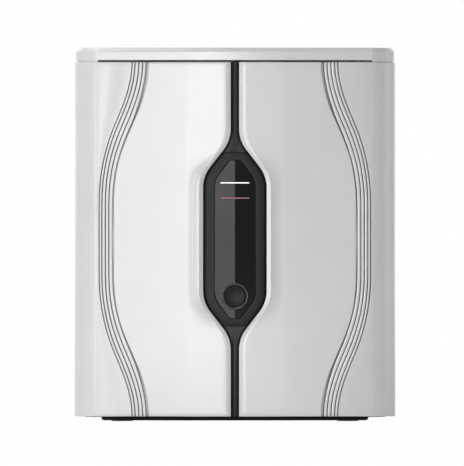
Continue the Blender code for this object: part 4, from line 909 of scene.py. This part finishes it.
def lid(white):
    """Stacked outlines: a soft lower edge, an upright band, a sloping shoulder and the top."""
    shoulder = LID_TOP - LID_SHOULDER
    levels = (
        (LID_LOW_EDGE, LID_EDGE),
        (LID_LOW_EDGE + LID_EDGE, 0.0),
        (shoulder - LID_EDGE, 0.0),
        (shoulder + LID_EDGE, LID_BREAK),
        (LID_TOP - LID_EDGE * 2, LID_SLOPE_DRAW),
        (LID_TOP - LID_EDGE * 0.5, LID_TOP_DRAW),
        (LID_TOP, LID_ROUND),
    )
    rows = [[(x, y, z) for x, y in body_outline(LID_INSET + inset)] for z, inset in levels]
    obj = tube_of("lid_cover", rows)
    hollow = body_outline(LID_INSET + LID_ROUND)
    cut_with(obj, slab("hollow", hollow, LID_LOW_EDGE - FIT, LID_TOP - LID_WALL))
    for side in (-1, 1):
        lip = slab("lip", lip_outline(side), BODY_TOP + LIP_GAP, LID_LOW_EDGE + FIT * 2)
        cut_with(obj, lip, "UNION")
    smooth(obj, LID_ANGLE)
    return dress(obj, white, "chassis", "lid", slot="white_moulding")


def strip(path, wall):
    """Closes an open path in plan into the outline of a sheet."""
    inner = []
    for i, (x, y) in enumerate(path):
        before = path[max(0, i - 1)]
        after = path[min(len(path) - 1, i + 1)]
        first = Vector((x - before[0], y - before[1])).normalized() if i else None
        second = Vector((after[0] - x, after[1] - y)).normalized() if i < len(path) - 1 else None
        first = first or second
        second = second or first
        normal = (Vector((-first.y, first.x)) + Vector((-second.y, second.x))).normalized()
        reach = wall / normal.dot(Vector((-first.y, first.x)))
        inner.append((x + normal.x * reach, y + normal.y * reach))
    return list(path) + inner[::-1]


def side_panels(paint):
    """Folded sheets from behind the doors' hinges round the rear corners."""
    path = [(HALF_WIDTH - SIDE_FLANGE, SIDE_Y)]
    for i in range(5):
        angle = math.pi / 2 * (i / 4 - 1)
        x = HALF_WIDTH - SIDE_ROUND + SIDE_ROUND * math.cos(angle)
        path.append((x, SIDE_Y + SIDE_ROUND + SIDE_ROUND * math.sin(angle)))
    for i in range(9):
        angle = math.pi / 2 * i / 8
        x = HALF_WIDTH - REAR_RADIUS + REAR_RADIUS * math.cos(angle)
        path.append((x, REAR_Y - REAR_RADIUS + REAR_RADIUS * math.sin(angle)))
    path.append((HALF_WIDTH - REAR_RADIUS - REAR_RETURN, REAR_Y))
    right = slab("right_side_skin", strip(path, SIDE_WALL), BODY_BOTTOM, BODY_TOP)
    smooth(right)
    left = mirrored(right, "left_side_skin")
    smooth(left)
    dress(right, paint, "chassis", "right_side_panel", slot="white_moulding")
    dress(left, paint, "chassis", "left_side_panel", slot="white_moulding")


def pod_rows(outset, end):
    """Heights that draw the pod's outline, cut off level at the end."""
    _, _, shoulder, _, outer, _, half = pod_marks(outset)
    low = shoulder - outer * half
    high = shoulder + outer * half * math.cos(POD_TURN)
    rows = [low / 2, *[low + (high - low) * i / 12 for i in range(13)], end]
    return [-s for s in reversed(rows)] + rows


def pod_loop(outset, end, y):
    """The pod's outline as a closed loop at one depth."""
    right = [(pod_half_width(s, outset), y, MID_Z + s) for s in pod_rows(outset, end)]
    return right + [(-x, y, z) for x, y, z in reversed(right)]


def bezel(black):
    """The pod's frame: rounded outside, with a small chamfer where the window sits."""
    back = CORE_Y - FIT
    hole = FIT - WINDOW_INSET
    end = BEZEL_END - 2 * FIT
    loops = [pod_loop(-BEZEL_GAP, end, back)]
    for i in range(5):
        turn = math.pi / 2 * i / 4
        across = BEZEL_ROUND * (1 - math.cos(turn))
        y = BEZEL_FRONT + BEZEL_ROUND * (1 - math.sin(turn))
        loops.append(pod_loop(-BEZEL_GAP - across, end - across, y))
    loops.append(pod_loop(hole + BEZEL_LIP, WINDOW_END + FIT + BEZEL_LIP, BEZEL_FRONT))
    loops.append(pod_loop(hole, WINDOW_END + FIT, BEZEL_FRONT + BEZEL_LIP))
    loops.append(pod_loop(hole, WINDOW_END + FIT, back))
    obj = ring_of("pod_frame", loops)
    smooth(obj)
    return dress(obj, black, "chassis", "control_bezel", slot="satin_black")


def seal(black):
    """A matt seal down each side of the spine and the pod's frame, in the joint with the door."""
    front = FACE_Y + SEAL_SETBACK
    back = CORE_Y - FIT
    round_over = SEAL_GAP / 2
    count = round(2 * HALF_BODY / ROW_STEP)
    rows = []
    for i in range(count + 1):
        s = HALF_BODY * (2 * i / count - 1)
        half = pod_half_width(s, -SEAL_GAP)
        inner = pod_half_width(s, FIT - BEZEL_GAP)
        outline = (
            (half, back),
            (half, front + round_over),
            (half - round_over, front),
            (inner + round_over, front),
            (inner, front + round_over),
            (inner, back),
        )
        rows.append([(x, y, MID_Z + s) for x, y in outline])
    right = tube_of("right_pod_seal", rows)
    left = mirrored(right, "left_pod_seal")
    for obj in (right, left):
        smooth(obj)
        dress(obj, black, "chassis", slot="rubber")


def window_front(x):
    """Depth of the window's facets."""
    return RIDGE_Y + RIDGE_SLOPE * abs(x)


def bar(name, light, grow, front, back):
    """A bar with round ends in the place of a status light, between two depths."""
    low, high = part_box(light)
    middle = (low.z + high.z) / 2
    radius = BAR_HEIGHT / 2 + grow
    straight = BAR_LENGTH / 2 + grow - radius
    outline = []
    for i in range(17):
        turn = math.pi * (i / 16 - 0.5)
        outline.append((straight + radius * math.cos(turn), radius * math.sin(turn)))
    outline += [(-x, -z) for x, z in outline]
    obj = slab(name, outline, 0.0, back - front)
    obj.rotation_euler = (math.radians(90), 0.0, 0.0)
    obj.location = (0.0, back, middle)
    apply_all(obj)
    return obj


def light_bars():
    """The two status lights, flush with the window's ridge and softened along their rims."""
    tones = (
        ("white", "#FDFDFD", "#F4F4F4", 0.6),
        ("red", "#B0707C", "#A66672", 0.08),
    )
    for colour, tone, rim, strength in tones:
        light = colour + "_status_light"
        obj = bar(colour + "_light_bar", light, -FIT / 2, BAR_FRONT, CORE_Y - FIT)
        edge_tool(
            obj,
            lambda co: co.y < BAR_FRONT + FIT,
            bpy.ops.mesh.bevel,
            offset=BAR_EDGE,
            segments=2,
            profile=0.5,
            affect="EDGES",
        )
        smooth(obj)
        guide = lit_guide(colour + "_light_guide_lit", tone, rim, strength)
        dress(obj, guide, "chassis", light, slot=colour + "_light_guide")


def window(acrylic):
    """Two gloss facets that meet at a ridge, with slots for the lights and a round hole."""
    back = CORE_Y - FIT
    rows = []
    for s in pod_rows(-WINDOW_INSET, WINDOW_END):
        half = pod_half_width(s, -WINDOW_INSET)
        inner = half - WINDOW_EDGE
        middle = half - WINDOW_BREAK
        right = [
            (inner, window_front(inner)),
            (middle, window_front(inner) + WINDOW_BREAK),
            (half, window_front(inner) + WINDOW_EDGE),
            (half, back),
        ]
        outline = [(0.0, RIDGE_Y), *right, *[(-x, y) for x, y in reversed(right)]]
        rows.append([(x, y, MID_Z + s) for x, y in outline])
    obj = tube_of("display_cover", rows)
    front, behind = RIDGE_Y - CUT_PAST, back + CUT_PAST
    ends = (0.0, front, CONTROL_Z), (0.0, behind, CONTROL_Z)
    cut_with(obj, rod(RING_RADIUS + FIT, *ends, 64))
    for name in ("white_status_light", "red_status_light"):
        cut_with(obj, bar("slot", name, FIT / 2, front, behind))
    smooth(obj, WINDOW_ANGLE)
    return dress(obj, acrylic, "chassis", "display_window", slot="gloss_black")


def control(black, polished):
    """The sloping rim with its bead, and the dished finger dial inside it."""
    back = CORE_Y - FIT
    inner = KNOB_RADIUS + FIT
    profile = [(inner, RIDGE_Y + RING_DIP - back)]
    rise = RING_RADIUS - 2 * RING_BEAD - inner
    for i in range(1, 6):
        share = i / 6
        profile.append((inner + rise * share, RIDGE_Y + RING_DIP * (1 - share) ** RING_FALL - back))
    middle = RING_RADIUS - RING_BEAD
    for i in range(9):
        turn = math.pi * i / 8
        across = middle - RING_BEAD * math.cos(turn)
        profile.append((across, RIDGE_Y - RING_BEAD * math.sin(turn) * RING_CROWN - back))
    profile += [(RING_RADIUS, 0.0), (inner, 0.0)]
    ring = turned("control_rim", profile, (0.0, back, CONTROL_Z))
    smooth(ring)
    dress(ring, polished, "chassis", "control_ring", slot="satin_black")

    rim = FACE_Y + KNOB_SETBACK
    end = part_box("control_knob")[1].y - rim
    r = KNOB_RADIUS
    dish = [(0.0, KNOB_DIP)]
    for i in range(1, 10):
        share = i / 10
        dish.append((r * KNOB_DISH * share, KNOB_DIP * (1 - share**KNOB_FALL)))
    profile = dish + [(r * share, depth) for share, depth in KNOB_EDGE]
    profile += [
        (r, KNOB_THICKNESS),
        (SHAFT_RADIUS, KNOB_THICKNESS),
        (SHAFT_RADIUS, end),
        (0.0, end),
    ]
    dial = turned("control_dial", profile, (0.0, rim, CONTROL_Z))
    smooth(dial)
    dress(dial, black, "control_knob", "control_knob", slot="satin_black")


def soften(name, material, radius=0.0004):
    """A node that keeps its shape: welded, with softened edges and smooth rounds."""
    obj = frame["nodes"][name]
    obj.data.materials.clear()
    obj.data.materials.append(material)
    weld = obj.modifiers.new("weld", "WELD")
    weld.merge_threshold = WELD_REACH
    if radius:
        bevel = obj.modifiers.new("soft_edges", "BEVEL")
        bevel.width = radius
        bevel.segments = 2
        bevel.limit_method = "ANGLE"
        bevel.angle_limit = SOFTENED_ANGLE
        bevel.harden_normals = False
    split = obj.modifiers.new("crisp", "EDGE_SPLIT")
    split.split_angle = NODE_ANGLE
    obj.data.shade_smooth()


# ---------------------------------------------------------------- stage


PHOTO_MM_PER_PIXEL = 1.1705
VIEW_DISTANCE = 14.0
VIEW_X = -0.0034
VIEW_Z = 0.2205
VIEW_REACH = 20.0
SENSOR_MM = 36.0
PHOTO_PIXELS = (464, 466)


def camera():
    """The photograph's view: straight from the front and far off."""
    data = bpy.data.cameras.new("camera")
    data.sensor_width = SENSOR_MM
    height = PHOTO_PIXELS[1] * PHOTO_MM_PER_PIXEL / 1000
    data.lens = SENSOR_MM * VIEW_DISTANCE / height
    data.clip_end = VIEW_REACH
    obj = bpy.data.objects.new("camera", data)
    obj.location = (VIEW_X, FACE_Y - VIEW_DISTANCE, VIEW_Z)
    obj.rotation_euler = (math.radians(90), 0.0, 0.0)
    bpy.context.scene.collection.objects.link(obj)
    bpy.context.scene.camera = obj


def seen_directly(tree):
    """One where the camera, a reflection or a refraction sees the surface, else zero."""
    path = node(tree, "ShaderNodeLightPath").outputs
    values = {0: path["Is Camera Ray"], 1: path["Is Glossy Ray"]}
    first = node(tree, "ShaderNodeMath", values, operation="MAXIMUM")
    values = {0: first.outputs[0], 1: path["Is Transmission Ray"]}
    return node(tree, "ShaderNodeMath", values, operation="MAXIMUM").outputs[0]


WORLD_STRENGTH = 0.03


def surroundings():
    """A room that is white to the eye and gives little light of its own."""
    world = bpy.data.worlds.new("pale_room")
    bpy.context.scene.world = world
    world.use_nodes = True
    tree = world.node_tree
    tree.nodes.clear()
    values = {"Color": linear("#FFFFFF"), "Strength": WORLD_STRENGTH}
    light = node(tree, "ShaderNodeBackground", values)
    values = {"Color": linear("#FFFFFF"), "Strength": 1.0}
    seen = node(tree, "ShaderNodeBackground", values)
    values = {0: seen_directly(tree), 1: light.outputs[0], 2: seen.outputs[0]}
    mix = node(tree, "ShaderNodeMixShader", values)
    node(tree, "ShaderNodeOutputWorld", {"Surface": mix.outputs[0]})


FLOOR_GLOW = 0.985
FLOOR_SIZE = 14.0
FLOOR_Z = -0.0001  # a hair under the feet, so that the two faces don't coincide


def floor():
    """The white floor, which glows to the eye as in the photograph."""
    bpy.ops.object.select_all(action="DESELECT")
    bpy.ops.mesh.primitive_plane_add(size=FLOOR_SIZE, location=(0.0, 0.0, FLOOR_Z))
    obj = bpy.context.active_object
    obj.name = "floor"
    made = bpy.data.materials.new("white_studio_floor")
    made.use_nodes = True
    tree = made.node_tree
    tree.nodes.clear()
    paint = node(tree, "ShaderNodeBsdfDiffuse", {"Color": linear("#F2F2F2")})
    glow = node(tree, "ShaderNodeEmission", {"Color": linear("#FFFFFF"), "Strength": 1.0})
    values = {0: seen_directly(tree), 1: FLOOR_GLOW}
    share = node(tree, "ShaderNodeMath", values, operation="MULTIPLY").outputs[0]
    values = {0: share, 1: paint.outputs[0], 2: glow.outputs[0]}
    mix = node(tree, "ShaderNodeMixShader", values)
    node(tree, "ShaderNodeOutputMaterial", {"Surface": mix.outputs[0]})
    obj.data.materials.append(made)


# Place and size in metres and power in watts. Each one faces the middle of the front
SOFTBOXES = {
    "left_low": ((-0.75, -0.75, 0.10), (0.6, 0.16), 0.4),
    "front_low": ((-0.15, -1.3, 0.06), (0.8, 0.10), 0.85),
    "right_side": ((1.7, -0.1, 0.5), (0.8, 1.2), 4.0),
    "reveal_strip": ((-1.49, -1.454, 0.35), (0.16, 1.2), 7.8),
    "left_strip": ((-1.5, -3.4, 0.35), (0.14, 1.0), 11.5),
    "window_strip": ((-0.566, -3.4, 0.35), (0.14, 1.0), 6.0),
    "front_strip_left": ((-0.23, -3.4, 0.35), (0.14, 1.0), 12.9),
    "front_strip": ((-0.08, -3.4, 0.35), (0.14, 1.0), 3.9),
    "top": ((-0.5, -0.15, 1.6), (0.8, 0.8), 7.0),
    "back_left": ((-1.6, 1.9, 1.2), (2.4, 2.4), 24.0),
    "back_right": ((1.6, 1.9, 1.2), (2.4, 2.4), 24.0),
}


def softboxes():
    """The lamps: long strips in front for the crests, wide ones round the unit."""
    target = Vector((0.0, FACE_Y, MID_Z))
    for name, (place, size, power) in SOFTBOXES.items():
        data = bpy.data.lights.new(name, "AREA")
        data.shape = "RECTANGLE"
        data.size, data.size_y = size
        data.energy = power
        obj = bpy.data.objects.new(name, data)
        obj.location = place
        obj.rotation_euler = (target - Vector(place)).to_track_quat("-Z", "Y").to_euler()
        bpy.context.scene.collection.objects.link(obj)


# ---------------------------------------------------------------- the unit


def finish_nodes(finishes):
    """Every node that keeps its shape gets its finish, by its name or its slot in the record."""
    for row in frame["record"]["subparts"]:
        name = row["node"]
        obj = frame["nodes"][name]
        if obj.hide_render:
            continue
        slot = row["material_slot"]
        material, radius = finishes.get(name) or finishes[slot]
        soften(name, material, radius)


def build():
    """Sets the stage, makes the new pieces and finishes the kept ones."""
    scene = bpy.context.scene
    scene.view_settings.view_transform = "Standard"
    camera()
    surroundings()
    floor()
    softboxes()
    white = white_abs()
    paint = white_powder_coat()
    black = black_abs()
    satin = satin_black_abs()
    acrylic = black_acrylic()
    matt = rubber()
    grey = polypropylene("grey_polypropylene_moulded", "#8D9194", "#999DA0")
    blue = polypropylene("blue_polypropylene_moulded", "#2D6298", "#31689F")
    doors(white)
    lid(white)
    side_panels(paint)
    bezel(satin)
    seal(matt)
    window(acrylic)
    control(satin, polished_black_abs())
    light_bars()
    finish_nodes(
        {
            # The base tray's near-black holds painted shade from under the doors.
            "base_tray": (shaded_black_powder_coat(), 0.0003),
            "white_moulding": (paint, 0.0004),
            "black_moulding": (black, 0.0003),
            "satin_black": (satin, 0.0003),
            "gloss_black": (acrylic, 0.0002),
            "zinc_steel": (zinc_steel(), 0.0002),
            "stainless_steel": (stainless_steel(), 0.0003),
            "rubber": (matt, 0.0004),
            "grey_moulding": (grey, 0.0004),
            "blue_moulding": (blue, 0.0004),
            "circuit_board": (circuit_board(), 0.0002),
            "brass": (brass(), 0.0003),
            "water_line": (water_tube(), 0.0),
        }
    )


build()
